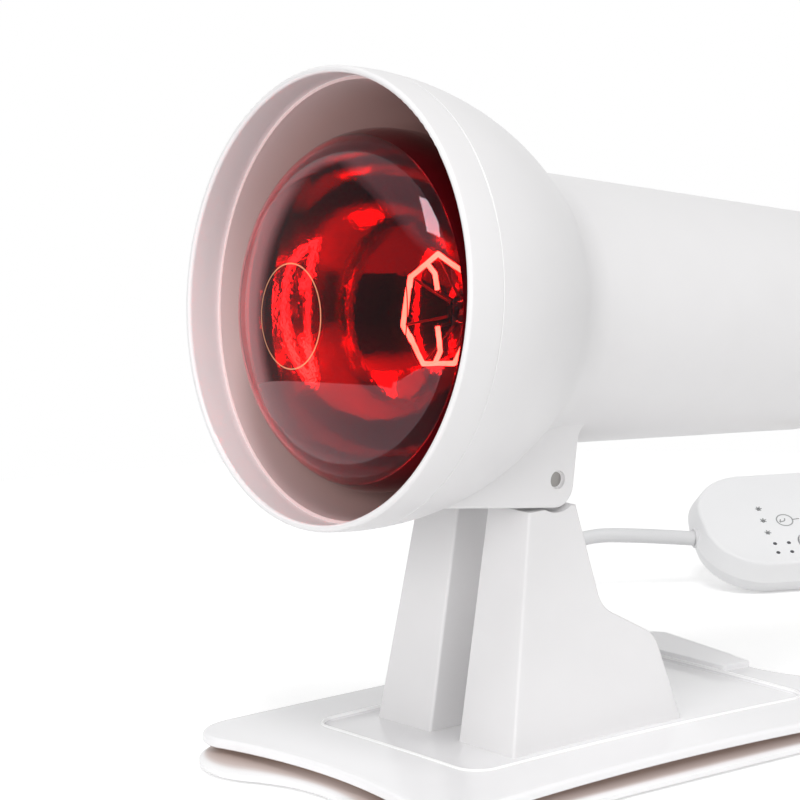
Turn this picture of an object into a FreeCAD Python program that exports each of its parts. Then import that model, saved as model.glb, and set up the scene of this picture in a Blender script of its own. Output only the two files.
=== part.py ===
"""Infrared heat therapy lamp: a tilting bowl-and-barrel head on a slotted stand, with a hand controller.

Millimetres, +Z up. The origin is on the floor under the middle of the base. The lamp faces -Y and the hinge
pin lies along X. Head pieces are drawn in the head's own frame (x, s back from the rim, u up from the optical
axis) and are then tilted and seated on the hinge pin.
"""
import FreeCAD, Part
import math
import os

from FreeCAD import Placement, Rotation
from FreeCAD import Vector as V

# ---------------------------------------------------------------- bulb (95 mm reflector, E27)
BULB_R = 47.0
BULB_APEX_S = -7.0
BULB_DOME_R = 86.0
BULB_SHOULDER_R = 20.5
BULB_GLASS = 1.0
BULB_BACK_R = 46.0         # radius of the arc behind the widest ring
BULB_CONE_ANGLE = 42.0     # degrees, half angle of the mirrored cone
BULB_NECK_R = 14.0
BULB_NECK_BLEND = 16.0
BULB_NECK_END = 101.0
BULB_SEAM_ANGLE = 64.0     # on the shoulder, where dome and bowl are fused
BULB_CAP_R = 13.1
BULB_CAP_LEN = 20.0
CAP_METAL = 0.8
CAP_COLLAR = 6.0
INSULATOR_LEN = 4.0
INSULATOR_SEAT = 1.5       # how far it reaches into the cap
CONTACT_R = 4.5
CONTACT_LEN = 2.0
BULB_DROOP = 1.2           # degrees, the socket sags a little below the optical axis
SOCKET_PIVOT_S = 128.0
STEM_R = 4.0
STEM_FRONT_S = 44.0
STEM_FLARE_R = 9.0
STEM_FLARE_LEN = 18.0
STEM_BEVEL = 1.4
STEM_SEAL = 4.0            # flare to the neck's end
FILAMENT_R = 0.65          # of the coiled wire
FILAMENT_RING_R = 15.0     # of the hooks that spread the coiled wire into a loop
FILAMENT_SIDES = 7
FILAMENT_PHASE = 97.0      # degrees, first hook
FILAMENT_S = 39.0
UPPER_LEG = (0, 0.4, (-2.6, 9.7), (-1.1, 5.75))   # side of the loop, share along it, elbow and end (x, u)
LOWER_LEG = (3, 0.38, (2.0, -10.2), (0.1, -4.0))
WIRE_R = 0.4               # of the support wires
WIRE_ROOT = 0.6            # how deep they are sealed into the stem
WIRE_ROOT_S = 2.5          # behind the stem's front

# ---------------------------------------------------------------- lamp holder
HOLDER_R = 20.5
HOLDER_LEN = 38.0
HOLDER_LIP_S = 104.0       # mouth of the ceramic body
HOLDER_SHELL_T = 0.5
HOLDER_PLAY = 0.3          # bulb cap in the threaded shell
BRACKET_T = 1.5
BRACKET_WIDTH = 16.0
BRACKET_FOOT_R = 4.0
BRACKET_DISC_R = 13.0
BRACKET_GAP = 0.6422       # its feet to the barrel's inner wall
HOLDER_GAP = 0.5           # round the body, between the two bosses
HOLDER_MOUTH_WALL = 3.0    # the body flares behind its mouth
HOLDER_BACK_STEP = 4.0
HOLDER_SCREW_U = 9.0       # above and below the axis
HOLDER_SCREW_LEN = 8.0
TERMINAL_X = 7.0           # middle of each terminal well
TERMINAL_WIDTH = 6.0
TERMINAL_HEIGHT = 7.0
TERMINAL_DEPTH = 5.0
CONTACT_SPRING = 2.0       # room behind the bulb's contact
CONTACT_STRIP_T = 0.6
CONTACT_STRIP_WIDTH = 5.0
CONTACT_FOOT = (-7.5, -2.0)   # u of the ends of its foot
CONTACT_TONGUE = (1.6, 2.5)   # u of its raised tip
M3_R = 1.5
M3_HEAD_R = 2.8
M3_HEAD_T = 1.8
SCREW_GAP = 0.1            # round a screw in its clearance hole

# ---------------------------------------------------------------- head housing
RIM_GAP = 12.3             # bulb's widest ring to the outside of the shade's rim
RIM_R = BULB_R + RIM_GAP
DOME_R = 83.0              # radius of the shade's outer arc
DOME_START = 3.0           # where the arc leaves the rim's straight start
BARREL_R = 36.0            # outer radius of the barrel at BARREL_REF_S
BARREL_REF_S = 80.0
BARREL_TAPER = 3.1         # degrees, each side
BLEND_R = 20.0             # concave blend of shade into barrel
HOUSING_WALL = 2.5
RING_WALL = 1.9            # wall of the front ring
RING_LEN = 10.9            # rim to the parting line outside
LEDGE_S = 9.7              # rim to the housing's nose inside
LAP_DEPTH = 0.9            # outer lip of the front ring over the nose
SEAM_BEVEL = 0.25          # on both sides of the parting line
BARREL_END = 165.0         # where the rear cap starts
CAP_LEN = 15.0
CAP_EDGE_R = 12.0
CAP_WALL = 2.4
CAP_SPIGOT = 4.0           # how far the barrel's inner half reaches into the cap
FIT_GAP = 0.15             # clearance between plugged mouldings
VENT_LEN = 26.0
VENT_WIDTH = 2.6
VENT_PITCH = 6.0
VENT_ROWS = 5
CAP_SCREW_INSET = 12.0     # screw circle inside the barrel's radius
CAP_SCREW_RADIUS = BARREL_R - CAP_SCREW_INSET
CAP_POST_R = 3.2
CAP_POST_LEN = 14.0

# ---------------------------------------------------------------- hinge
PIN_Y = -13.6
PIN_Z = 79.4
PIN_S = 65.7               # pin behind the rim plane
PIN_BELOW_BARREL = 7.0
PIN_DROP = BARREL_R + PIN_BELOW_BARREL     # pin below the optical axis
HEAD_TILT = 7.6            # rim raised, at rest
PIN_R = 2.0
PIN_HOLE_GAP = 0.08        # running clearance in the ears
PIN_RECESS = 1.1           # pin end below the cheek's face
PIN_MOUTH_R = 2.5          # wider mouth of the pin hole
CHEEK_X = 23.0             # outer face of the lug's cheeks
CHEEK_WALL = 2.6
CHEEK_BELOW_PIN = 7.6
CHEEK_BEHIND_PIN = 6.0
CHEEK_CORNER_R = 6.0
CHEEK_BLEND_R = 5.7        # rear edge of the lug into the barrel
CHEEK_BLEND_RISE = 1.2     # how far that blend ends inside the barrel
CHEEK_EDGE_R = 0.8
LUG_FRONT_S = 20.0         # buried in the shade
LUG_FLOOR_END_S = 54.0     # the lug's floor is closed from the front up to here
LUG_HOLLOW_S = 36.0
WASHER_R = 5.0
WASHER_T = 0.9
WASHER_GAP = 0.1
EAR_R = 5.4
EAR_INNER_X = 12.6
SPACER_R = 3.2

# ---------------------------------------------------------------- stand
SLOT_HALF = 6.0
FOOT_HALF_WIDTH = 28.7
TOP_HALF_WIDTH = 23.1
FOOT_FRONT_Y = -34.6
FOOT_REAR_Y = 25.6
TOP_FRONT_Y = -23.6
STAND_TOP_Z = 71.9
NOTCH_R = 8.7              # hollow under the lug's rounded corner, about the pin
TIP_Y = -7.1               # rear tip beside the notch
WAIST = (-0.3, 43.5)       # y, z where the rear edge turns outwards
HIP = (17.9, 33.5)         # y, z where it turns down again
WAIST_R = 9.0
HIP_R = 9.0
STAND_WALL = 2.2
BOSS_R = 3.6
BOSS_LEN = 16.0
PILOT_R = 1.25
BOSS_X = 17.0
BOSS_YS = (-20.0, 12.0)
RIB_T = 2.0
RIB_REACH = 10.8
STAND_EDGE_R = 0.8

# ---------------------------------------------------------------- base
BASE_Y = 1.6               # middle of the base
BASE_MID_X = 54.0          # half width at the middle of the sides
BASE_MID_Y = 79.4          # half length at the middle of the ends
CORNER_X = 31.0            # centre of the corner arcs
CORNER_Y = 63.5
CORNER_R = 25.0
CROWN_R = 2250.0           # the base's top is a shallow crown
LIP_TOP_Z = 10.1
LIP_T = 2.6
LIP_EDGE_R = 1.1
RECESS_X = 34.3
RECESS_FRONT_Y = -52.2
RECESS_REAR_Y = 68.8
RECESS_R = 7.0
RECESS_DEPTH = 0.9
TRAY_MID_X = 54.9
TRAY_MID_Y = 78.8
TRAY_CORNER_X = 33.5
TRAY_CORNER_Y = 66.0
TRAY_CORNER_R = 22.0
TRAY_BOTTOM_Z = 0.8
BAND_TOP_Z = 2.6
COVE = ((3.4, 2.2), (4.6, 4.4), (6.0, 5.8))   # z, inset of the skirt's hollow
NECK_INSET = 6.4
TRAY_WALL = 2.0
TRAY_FLOOR_T = 2.0
FOOT_PAD_R = 6.0
FOOT_PAD_T = 1.6
PAD_X = 37.0
PAD_Y = 67.0
POST_R = 4.0
POST_X = 38.0
POST_Y = 50.0
BALLAST_X = 66.0
BALLAST_Y = 84.0
BALLAST_T = 2.4
BALLAST_CENTRE_Y = -2.0
BALLAST_CORNER_R = 5.0
COVER_LEFT_X = -51.0
COVER_RIGHT_X = -0.8
COVER_FRONT_Y = 69.6
COVER_REAR_Y = 80.2        # straight rear edge, at the cover's right end
COVER_REAR_SLOPE = 0.138   # and how far it runs back per millimetre to the left
COVER_TOP_Z = 10.7
COVER_MARGIN = 1.4         # front of the cover to the channel
COVER_WALL = 1.2
COVER_EDGE_R = 0.8
CHANNEL_WIDTH = 6.4
CHANNEL_START = 9.0

# ---------------------------------------------------------------- controller
CTRL_L = 105.0
CTRL_W = 49.0
CTRL_T = 12.0
CTRL_CORNER_R = 21.0
CTRL_SPLIT = 5.6
CTRL_FACE_INSET = 2.4      # the walls lean in to the face
CTRL_BASE_INSET = 1.6
CTRL_BOTTOM_R = 1.4
CTRL_TOP_R = 1.2
CTRL_WALL = 1.8
CTRL_TILT = 30.0           # degrees, face raised towards the user
CTRL_HEADING = 65.0        # degrees from +X of its long side
CTRL_X = -97.2
CTRL_Y = 215.6
CTRL_FOOT_L = 78.0
CTRL_FOOT_W = 28.0
CTRL_FOOT_R = 12.0
CTRL_FOOT_Y = 4.0
SCREW_SPOTS = ((-37.0, 12.0), (41.0, 12.0))
POST_LOW_R = 3.0
PILOT_DEPTH = 3.6
BOARD_Z = 3.2
BOARD_T = 1.6
BOARD_BOX = (-33.5, 38.0, -17.0, 8.0)   # x and y limits of the board
SWITCH_H = 2.0
BUTTON_GAP = 0.3
BUTTON_TRAVEL = 0.8
BUTTON_PROUD = 1.0
BUTTON_EDGE_R = 0.5
TIMER_BUTTON = (-16.0, -12.6, 4.5)      # x, y and radius
POWER_BUTTON = (26.0, -4.0, 7.5)
LIGHT_R = 0.7
LIGHT_BAR_T = 1.4
LIGHT_BAR_MARGIN = 1.6
ICON_LIGHTS = ((-29.5, 4.7), (-29.6, -1.2), (-29.8, -7.2))
LEVEL_LIGHTS = ((-28.9, -12.6), (-24.1, -12.6), (-29.1, -17.0), (-24.3, -17.0))

# ---------------------------------------------------------------- leads
LEAD_R = 2.4
INNER_LEAD_R = 1.5
INNER_LEAD_X = -10.3       # beside the hinge spacer
INNER_LEAD_REST_Y = 34.0   # middle of its straight run on the tray
INNER_LEAD_TURN = 17.5     # from the cord's exit to that run
GATE_GAP = 0.1             # round the inner lead, in the pillar's top
SLOT_GAP = 0.6             # round the inner lead, in the housing and the lip
RISER_SLOT = 9.0           # length of the lip's slot where the inner lead rises
SLOT_S = (51.0, 61.5)      # ends of the lead's slot, long enough for the whole tilt
HEAD_LEAD_ALONG = ((-13.0, 62.0, 6.0), (-14.0, 74.0, 8.5), (-13.0, 92.0, 10.5), (-11.0, 112.0, 11.5),
                   (-9.0, 130.0, 12.4), (-8.0, 146.0, 14.5))   # x, s, height above the barrel's lowest line
HEAD_LEAD_END = ((-7.0, 156.0, -14.0), (-7.0, 156.5, -5.0), (-7.0, 145.0, -0.5))   # x, s, u at the terminals
RELIEF_LEN = 26.0
RELIEF_R = 3.1
RELIEF_TIP_R = 2.6
RELIEF_ROOT = 12.0
PORT_Y = -0.5
PORT_R = 3.2
PORT_WALL = 3.3
COIL_R = 27.0              # middle of the turns
COIL_SIDE = 3              # turns side by side and on each other
COIL_REACH = 28.0          # straight lead between the controller and the coil
COIL_EXIT_ANGLE = -22.0
TIE_WIDTH = 9.0
TIE_T = 0.8
TIE_ANGLE = 60.0
PLUG_W = 35.3
PLUG_L = 34.0
PLUG_H = 13.7
PLUG_NECK_L = 15.0
PLUG_REACH = 44.0          # straight lead between the coil and the plug's neck
PLUG_SHIFT = -6.0
PLUG_PIN_R = 2.0
PLUG_PIN_LEN = 19.0
PLUG_PIN_PITCH = 18.6
SLEEVE_LEN = 10.0
SLEEVE_T = 0.35

HEAD_ROTATION = Rotation(V(1, 0, 0), -HEAD_TILT)
HEAD = Placement(V(0, PIN_Y, PIN_Z) - HEAD_ROTATION.multVec(V(0, PIN_S, -PIN_DROP)), HEAD_ROTATION)
DROOP = Placement(V(0, 0, 0), Rotation(V(1, 0, 0), BULB_DROOP), V(0, SOCKET_PIVOT_S, 0))
SOCKET = HEAD.multiply(DROOP)


# ================================================================ helpers
def save(node, shape):
    """Write a piece, with the origin moved under the middle of the lamp's own box."""
    piece = shape.copy()
    piece.translate(V(0, -box_middle_y(), 0))
    piece.exportStep("parts/%s.step" % node)
    print("%-22s solids %2d  volume %10.1f" % (node, len(shape.Solids), shape.Volume))


def box_middle_y():
    """Half way between the base's front corners and the rear cap's rounded edge."""
    front = BASE_Y - CORNER_Y - CORNER_R
    edge_s = BARREL_END + CAP_LEN - CAP_EDGE_R
    edge = HEAD.multVec(V(0, edge_s, barrel_radius(edge_s) - CAP_EDGE_R))
    return (front + edge.y + CAP_EDGE_R) / 2


def placed(shape, placement):
    moved = shape.copy()
    moved.Placement = placement.multiply(moved.Placement)
    return moved


def arc(start, middle, end):
    return Part.Arc(start, middle, end).toShape()


def line(start, end):
    return Part.LineSegment(start, end).toShape()


def face_of(edges):
    return Part.Face(Part.Wire(Part.__sortEdges__(edges)))


def lathe(edges):
    """Solid of revolution about the head's s axis from edges drawn in the plane x = 0."""
    return face_of(edges).revolve(V(0, 0, 0), V(0, 1, 0), 360)


def lathe_points(points):
    """Solid of revolution from straight runs through (s, r) points."""
    corners = [V(0, s, r) for s, r in points]
    return lathe([line(a, b) for a, b in zip(corners, corners[1:] + corners[:1])])


def tube(radius, inner, length, start, direction=V(0, 1, 0)):
    outer = Part.makeCylinder(radius, length, start, direction)
    if inner <= 0:
        return outer
    return outer.cut(Part.makeCylinder(inner, length, start, direction))


def rounded_rectangle(x0, x1, y0, y1, r, z):
    """Face at height z."""
    corners = [V(x0, y0, z), V(x1, y0, z), V(x1, y1, z), V(x0, y1, z)]
    return face_of(filleted_edges(corners, [r] * 4))


def filleted_edges(points, radii):
    """Edges of a closed outline whose corners are rounded by the given radii (0 keeps a corner sharp)."""
    count = len(points)
    cuts = []
    for i, corner in enumerate(points):
        before = (points[i - 1] - corner).normalize()
        after = (points[(i + 1) % count] - corner).normalize()
        half = before.getAngle(after) / 2
        if radii[i] <= 0:
            cuts.append((corner, None, corner))
            continue
        reach = radii[i] / math.tan(half)
        inward = (before + after).normalize()
        middle = corner + inward * (radii[i] / math.sin(half) - radii[i])
        cuts.append((corner + before * reach, middle, corner + after * reach))
    edges = []
    for i, (enter, middle, leave) in enumerate(cuts):
        if middle is not None:
            edges.append(arc(enter, middle, leave))
        following = cuts[(i + 1) % count][0]
        if (following - leave).Length > 1e-6:
            edges.append(line(leave, following))
    return edges


def prism(face, vector):
    return face.extrude(vector)


def screw(head_r, head_t, shank_r, length, place, direction):
    """Pan-head screw: the head's underside is at place and the shank runs along direction."""
    d = V(direction).normalize()
    head = Part.makeCylinder(head_r, head_t, place - d * head_t, d)
    shank = Part.makeCylinder(shank_r, length, place, d)
    return head.fuse(shank).removeSplitter()


def compound(solids):
    return Part.makeCompound(solids)


# ================================================================ head housing
def barrel_radius(s):
    return BARREL_R - (s - BARREL_REF_S) * math.tan(math.radians(BARREL_TAPER))


def shade_radius(s, inset=0.0):
    """Radius of the shade's arc at s, inset by a wall."""
    reach = DOME_R - inset
    return RIM_R - DOME_R + math.sqrt(reach ** 2 - (s - DOME_START) ** 2)


def blend_centre():
    """Centre of the concave blend: tangent to the shade's arc and to the barrel's line."""
    beta = math.radians(BARREL_TAPER)
    along = (math.cos(beta), -math.sin(beta))
    out = (math.sin(beta), math.cos(beta))
    cs, cr = DOME_START, RIM_R - DOME_R
    ps = BARREL_REF_S + out[0] * BLEND_R - cs
    pr = BARREL_R + out[1] * BLEND_R - cr
    b = along[0] * ps + along[1] * pr
    c = ps ** 2 + pr ** 2 - (DOME_R + BLEND_R) ** 2
    t = math.sqrt(b * b - c) - b
    return cs + ps + along[0] * t, cr + pr + along[1] * t


def shell_line(inset, s_start, s_end):
    """Edges from s_start on the shade to s_end on the barrel, inset by a wall."""
    fs, fr = blend_centre()
    cs, cr = DOME_START, RIM_R - DOME_R
    beta = math.radians(BARREL_TAPER)
    span = DOME_R + BLEND_R
    reach = DOME_R - inset
    blend = BLEND_R + inset
    first = V(0, s_start, shade_radius(s_start, inset))
    touch = V(0, cs + (fs - cs) * reach / span, cr + (fr - cr) * reach / span)
    a0 = math.asin((s_start - cs) / reach)
    a1 = math.asin((touch.y - cs) / reach)
    mid_angle = (a0 + a1) / 2
    dome_mid = V(0, cs + reach * math.sin(mid_angle), cr + reach * math.cos(mid_angle))
    leave = V(0, fs - blend * math.sin(beta), fr - blend * math.cos(beta))
    chord = ((touch + leave) * 0.5) - V(0, fs, fr)
    blend_mid = V(0, fs, fr) + chord.normalize() * blend
    last = V(0, s_end, barrel_radius(s_end) - inset / math.cos(beta))
    return [arc(first, dome_mid, touch), arc(touch, blend_mid, leave), line(leave, last)], first, last


def solid_inside(inset, s_start, s_end):
    """Solid of revolution that fills the housing up to the wall's given inset."""
    edges, first, last = shell_line(inset, s_start, s_end)
    axis_start, axis_end = V(0, first.y, 0), V(0, last.y, 0)
    return lathe(edges + [line(last, axis_end), line(axis_end, axis_start), line(axis_start, first)])


def lap_radius():
    return shade_radius(RING_LEN) - LAP_DEPTH


def seam_edge():
    """Bottom of the small groove that the two bevelled edges leave round the shade."""
    return V(0, RING_LEN, shade_radius(RING_LEN) - SEAM_BEVEL)


def front_ring():
    """Thin rim ring: rounded lip in front, outer lip lapping over the housing's nose behind."""
    inner = RIM_R - RING_WALL
    lip = RING_WALL / 2
    bevel_s = RING_LEN - SEAM_BEVEL
    mid = (DOME_START + bevel_s) / 2
    points = [V(0, lip, inner), V(0, 0, inner + lip), V(0, lip, RIM_R), V(0, DOME_START, RIM_R),
              V(0, bevel_s, shade_radius(bevel_s)), seam_edge(), V(0, RING_LEN, lap_radius()),
              V(0, LEDGE_S, lap_radius()), V(0, LEDGE_S, inner)]
    edges = [arc(points[0], points[1], points[2]), line(points[2], points[3]),
             arc(points[3], V(0, mid, shade_radius(mid)), points[4])]
    edges += [line(a, b) for a, b in zip(points[4:], points[5:] + points[:1])]
    return lathe(edges)


def cap_lap_radius():
    return barrel_radius(BARREL_END) - CAP_WALL / 2


def housing_shell():
    """Shade and barrel in one moulding, with a stepped nose and a rear spigot."""
    outer, outer_first, outer_last = shell_line(0.0, RING_LEN + SEAM_BEVEL, BARREL_END)
    spigot_end = BARREL_END + CAP_SPIGOT
    inner, inner_first, inner_last = shell_line(HOUSING_WALL, LEDGE_S, spigot_end)
    lap = lap_radius()
    spigot_r = cap_lap_radius() - FIT_GAP
    steps = [line(inner_first, V(0, LEDGE_S, lap)), line(V(0, LEDGE_S, lap), V(0, RING_LEN, lap)),
             line(V(0, RING_LEN, lap), seam_edge()), line(seam_edge(), outer_first),
             line(outer_last, V(0, BARREL_END, spigot_r)),
             line(V(0, BARREL_END, spigot_r), V(0, spigot_end, spigot_r)),
             line(V(0, spigot_end, spigot_r), inner_last)]
    return lathe(outer + inner + steps)


def lug_profile():
    """Side outline of the hinge lug in the (s, u) plane."""
    bottom = -PIN_DROP - CHEEK_BELOW_PIN
    rear = PIN_S + CHEEK_BEHIND_PIN
    barrel_edge = -math.sqrt(barrel_radius(rear) ** 2 - CHEEK_X ** 2)
    blend_top = barrel_edge + CHEEK_BLEND_RISE
    behind = rear + 2 * CHEEK_BLEND_R
    points = [V(0, LUG_FRONT_S, bottom), V(0, rear, bottom), V(0, rear, blend_top), V(0, behind, blend_top),
              V(0, behind, 0), V(0, LUG_FRONT_S, 0)]
    return face_of(filleted_edges(points, [0, CHEEK_CORNER_R, CHEEK_BLEND_R, 0, 0, 0]))


def lug():
    """Hollow lug: two cheeks with a closed floor in front, open behind for the stand's ears."""
    block = prism(lug_profile(), V(2 * CHEEK_X, 0, 0))
    block.translate(V(-CHEEK_X, 0, 0))
    outline = [e for e in block.Edges if e.BoundBox.XLength < 1e-6 and e.BoundBox.YMax > LUG_FRONT_S + 1e-6
               and e.BoundBox.ZMax < -BARREL_R / 2]
    block = block.makeFillet(CHEEK_EDGE_R, outline)
    block = block.cut(solid_inside(HOUSING_WALL / 2, LEDGE_S, BARREL_END))
    half = CHEEK_X - CHEEK_WALL
    depth = PIN_DROP + 2 * CHEEK_BELOW_PIN
    rear = Part.makeBox(2 * half, depth, depth, V(-half, LUG_FLOOR_END_S, -depth))
    above_floor = PIN_DROP + CHEEK_BELOW_PIN - CHEEK_WALL
    front = Part.makeBox(2 * half, depth, above_floor, V(-half, LUG_HOLLOW_S, -above_floor))
    pocket = rear.fuse(front).cut(solid_inside(0.0, LEDGE_S, BARREL_END))
    return block.cut(pocket)


def pin_place(x=0.0):
    return V(x, PIN_S, -PIN_DROP)


def lead_slot():
    """Slot in the shell over the ears, where the lead passes whatever the tilt."""
    radius = INNER_LEAD_R + SLOT_GAP
    first, last = SLOT_S
    start = V(INNER_LEAD_X, 0, -PIN_DROP)
    slot = Part.makeBox(2 * radius, last - first, PIN_DROP / 2, start + V(-radius, first, 0))
    for s in SLOT_S:
        slot = slot.fuse(Part.makeCylinder(radius, PIN_DROP / 2, start + V(0, s, 0), V(0, 0, 1)))
    return slot


def cap_post_angles():
    return [math.radians(a) for a in (90, 210, 330)]


def bracket_foot_x():
    """Sideways place of the two bosses that carry the lamp holder's strap."""
    return barrel_radius(bracket_s()) - HOUSING_WALL - BRACKET_FOOT_R - BRACKET_GAP


def head_housing():
    shell = housing_shell().fuse(lug())
    inside = solid_inside(HOUSING_WALL / 2, LEDGE_S, BARREL_END)
    room = Part.makeCylinder(HOLDER_R + HOLDER_GAP, BOSS_LEN, V(0, bracket_s() - BOSS_LEN, 0), V(0, 1, 0))
    holes = []
    for side in (-1, 1):
        x = side * bracket_foot_x()
        boss = Part.makeCylinder(CAP_POST_R, BOSS_LEN, V(x, bracket_s() - BOSS_LEN, 0), V(0, 1, 0))
        rib = Part.makeBox(RIB_REACH, BOSS_LEN, RIB_T,
                           V(min(x, x + side * RIB_REACH), bracket_s() - BOSS_LEN, -RIB_T / 2))
        shell = shell.fuse(placed(boss.fuse(rib).cut(room), DROOP).common(inside))
        pilot = Part.makeCylinder(PILOT_R, BOSS_LEN - 2.0, V(x, bracket_s(), 0), V(0, -1, 0))
        holes.append(placed(pilot, DROOP))
    for angle in cap_post_angles():
        radial = V(math.cos(angle), 0, math.sin(angle))
        start = radial * CAP_SCREW_RADIUS + V(0, BARREL_END - CAP_POST_LEN, 0)
        post = Part.makeCylinder(CAP_POST_R, CAP_POST_LEN, start, V(0, 1, 0))
        rib = Part.makeBox(RIB_REACH, RIB_T, CAP_POST_LEN, V(0, -RIB_T / 2, 0))
        rib.Placement = Placement(start, Rotation(radial, radial.cross(V(0, 1, 0)) * -1, V(0, 1, 0), "ZXY"))
        shell = shell.fuse(post.fuse(rib).common(inside))
        holes.append(Part.makeCylinder(PILOT_R, CAP_POST_LEN - 2.0, start + V(0, CAP_POST_LEN, 0),
                                       V(0, -1, 0)))
    holes.append(Part.makeCylinder(PIN_R, 4 * CHEEK_X, pin_place(-2 * CHEEK_X), V(1, 0, 0)))
    for side in (-1, 1):
        holes.append(Part.makeCylinder(PIN_MOUTH_R, PIN_RECESS, pin_place(side * (CHEEK_X - PIN_RECESS)),
                                       V(side, 0, 0)))
    holes.append(lead_slot())
    return shell.cut(holes).removeSplitter()


def rear_cap():
    """Shallow cup with a rounded edge, a row of vent slots and three screw wells."""
    r0 = barrel_radius(BARREL_END)
    r1 = barrel_radius(BARREL_END + CAP_LEN - CAP_EDGE_R)
    end = BARREL_END + CAP_LEN
    lap = cap_lap_radius()
    spigot_end = BARREL_END + CAP_SPIGOT + FIT_GAP
    edge = CAP_EDGE_R
    k = math.sqrt(0.5)
    outer_mid = V(0, end - edge + edge * k, r1 - edge + edge * k)
    inner_edge = edge - CAP_WALL
    inner_mid = V(0, end - edge + inner_edge * k, r1 - edge + inner_edge * k)
    inner_r = r1 - CAP_WALL
    points = [V(0, BARREL_END, lap), V(0, BARREL_END, r0), V(0, end - edge, r1)]
    edges = [line(points[0], points[1]), line(points[1], points[2]),
             arc(points[2], outer_mid, V(0, end, r1 - edge)), line(V(0, end, r1 - edge), V(0, end, 0)),
             line(V(0, end, 0), V(0, end - CAP_WALL, 0)),
             line(V(0, end - CAP_WALL, 0), V(0, end - CAP_WALL, r1 - edge))]
    if end - edge > spigot_end + 0.2:
        edges += [arc(V(0, end - CAP_WALL, r1 - edge), inner_mid, V(0, end - edge, inner_r)),
                  line(V(0, end - edge, inner_r), V(0, spigot_end, inner_r)),
                  line(V(0, spigot_end, inner_r), V(0, spigot_end, lap)),
                  line(V(0, spigot_end, lap), points[0])]
        cap = lathe(edges)
    else:
        inner_rise = math.sqrt(inner_edge ** 2 - (spigot_end - end + edge) ** 2)
        inner_touch = V(0, spigot_end, r1 - edge + inner_rise)
        a = math.atan2(inner_touch.z - (r1 - edge), spigot_end - (end - edge)) / 2
        arc_mid = V(0, end - edge + inner_edge * math.cos(a), r1 - edge + inner_edge * math.sin(a))
        edges += [arc(V(0, end - CAP_WALL, r1 - edge), arc_mid, inner_touch),
                  line(inner_touch, V(0, spigot_end, lap)), line(V(0, spigot_end, lap), points[0])]
        cap = lathe(edges)
    for angle in cap_post_angles():
        centre = V(CAP_SCREW_RADIUS * math.cos(angle), BARREL_END + CAP_SPIGOT + FIT_GAP + 1.0,
                   CAP_SCREW_RADIUS * math.sin(angle))
        inside = lathe_points([(BARREL_END, 0), (BARREL_END, inner_r), (end - edge, inner_r),
                               (end - 1.0, r1 - edge + 4.0), (end - 1.0, 0)])
        well = tube(M3_HEAD_R + 1.6, 0, CAP_LEN, V(centre.x, BARREL_END, centre.z)).common(inside)
        cap = cap.fuse(well)
        cap = cap.cut(Part.makeCylinder(M3_HEAD_R + 0.4, CAP_LEN, V(centre.x, screw_seat_s(), centre.z),
                                        V(0, 1, 0)))
        cap = cap.cut(Part.makeCylinder(M3_R + 0.2, CAP_LEN, V(centre.x, BARREL_END - 1.0, centre.z),
                                        V(0, 1, 0)))
    for row in range(VENT_ROWS):
        u = (row - (VENT_ROWS - 1) / 2) * VENT_PITCH
        slot = Part.makeBox(VENT_LEN, CAP_LEN, VENT_WIDTH, V(-VENT_LEN / 2, end - CAP_WALL - 3.0,
                                                             u - VENT_WIDTH / 2))
        ends = [Part.makeCylinder(VENT_WIDTH / 2, CAP_LEN, V(side * VENT_LEN / 2, end - CAP_WALL - 3.0, u),
                                  V(0, 1, 0)) for side in (-1, 1)]
        cap = cap.cut(slot.fuse(ends))
    return cap.removeSplitter()


def screw_seat_s():
    """Where the heads of the rear cap's screws seat."""
    return BARREL_END + 2.6


def rear_cap_screws():
    screws = []
    for angle in cap_post_angles():
        place = V(CAP_SCREW_RADIUS * math.cos(angle), screw_seat_s(), CAP_SCREW_RADIUS * math.sin(angle))
        screws.append(screw(M3_HEAD_R, M3_HEAD_T, PILOT_R, CAP_POST_LEN - 2.0, place, V(0, -1, 0)))
    return compound(screws)


# ================================================================ bulb
def bulb_arcs(inset):
    """Key points of the envelope's outline, inset by the glass, from the apex back to the neck."""
    dome = BULB_DOME_R - inset
    shoulder = BULB_SHOULDER_R - inset
    centre_r = BULB_R - BULB_SHOULDER_R
    gap = BULB_DOME_R - BULB_SHOULDER_R
    dome_centre = BULB_APEX_S + BULB_DOME_R
    shoulder_s = dome_centre - math.sqrt(gap ** 2 - centre_r ** 2)
    touch_angle = math.atan2(centre_r, dome_centre - shoulder_s)
    return dome, shoulder, centre_r, dome_centre, shoulder_s, touch_angle


def on_arc(cs, cr, radius, angle):
    """Point on an arc; angle 0 points to the front, 90 outwards and 180 back."""
    return V(0, cs - radius * math.cos(angle), cr + radius * math.sin(angle))


def dome_edges(inset):
    """From the apex to the fused seam on the shoulder."""
    dome, shoulder, centre_r, dome_centre, shoulder_s, touch = bulb_arcs(inset)
    seam = math.radians(BULB_SEAM_ANGLE)
    apex = V(0, dome_centre - dome, 0)
    touch_point = on_arc(dome_centre, 0, dome, touch)
    seam_point = on_arc(shoulder_s, centre_r, shoulder, seam)
    edges = [arc(apex, on_arc(dome_centre, 0, dome, touch / 2), touch_point),
             arc(touch_point, on_arc(shoulder_s, centre_r, shoulder, (touch + seam) / 2), seam_point)]
    return edges, apex, seam_point


def bulb_dome():
    outer, outer_apex, outer_seam = dome_edges(0.0)
    inner, inner_apex, inner_seam = dome_edges(BULB_GLASS)
    return lathe(outer + inner + [line(outer_apex, inner_apex), line(outer_seam, inner_seam)])


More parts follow.
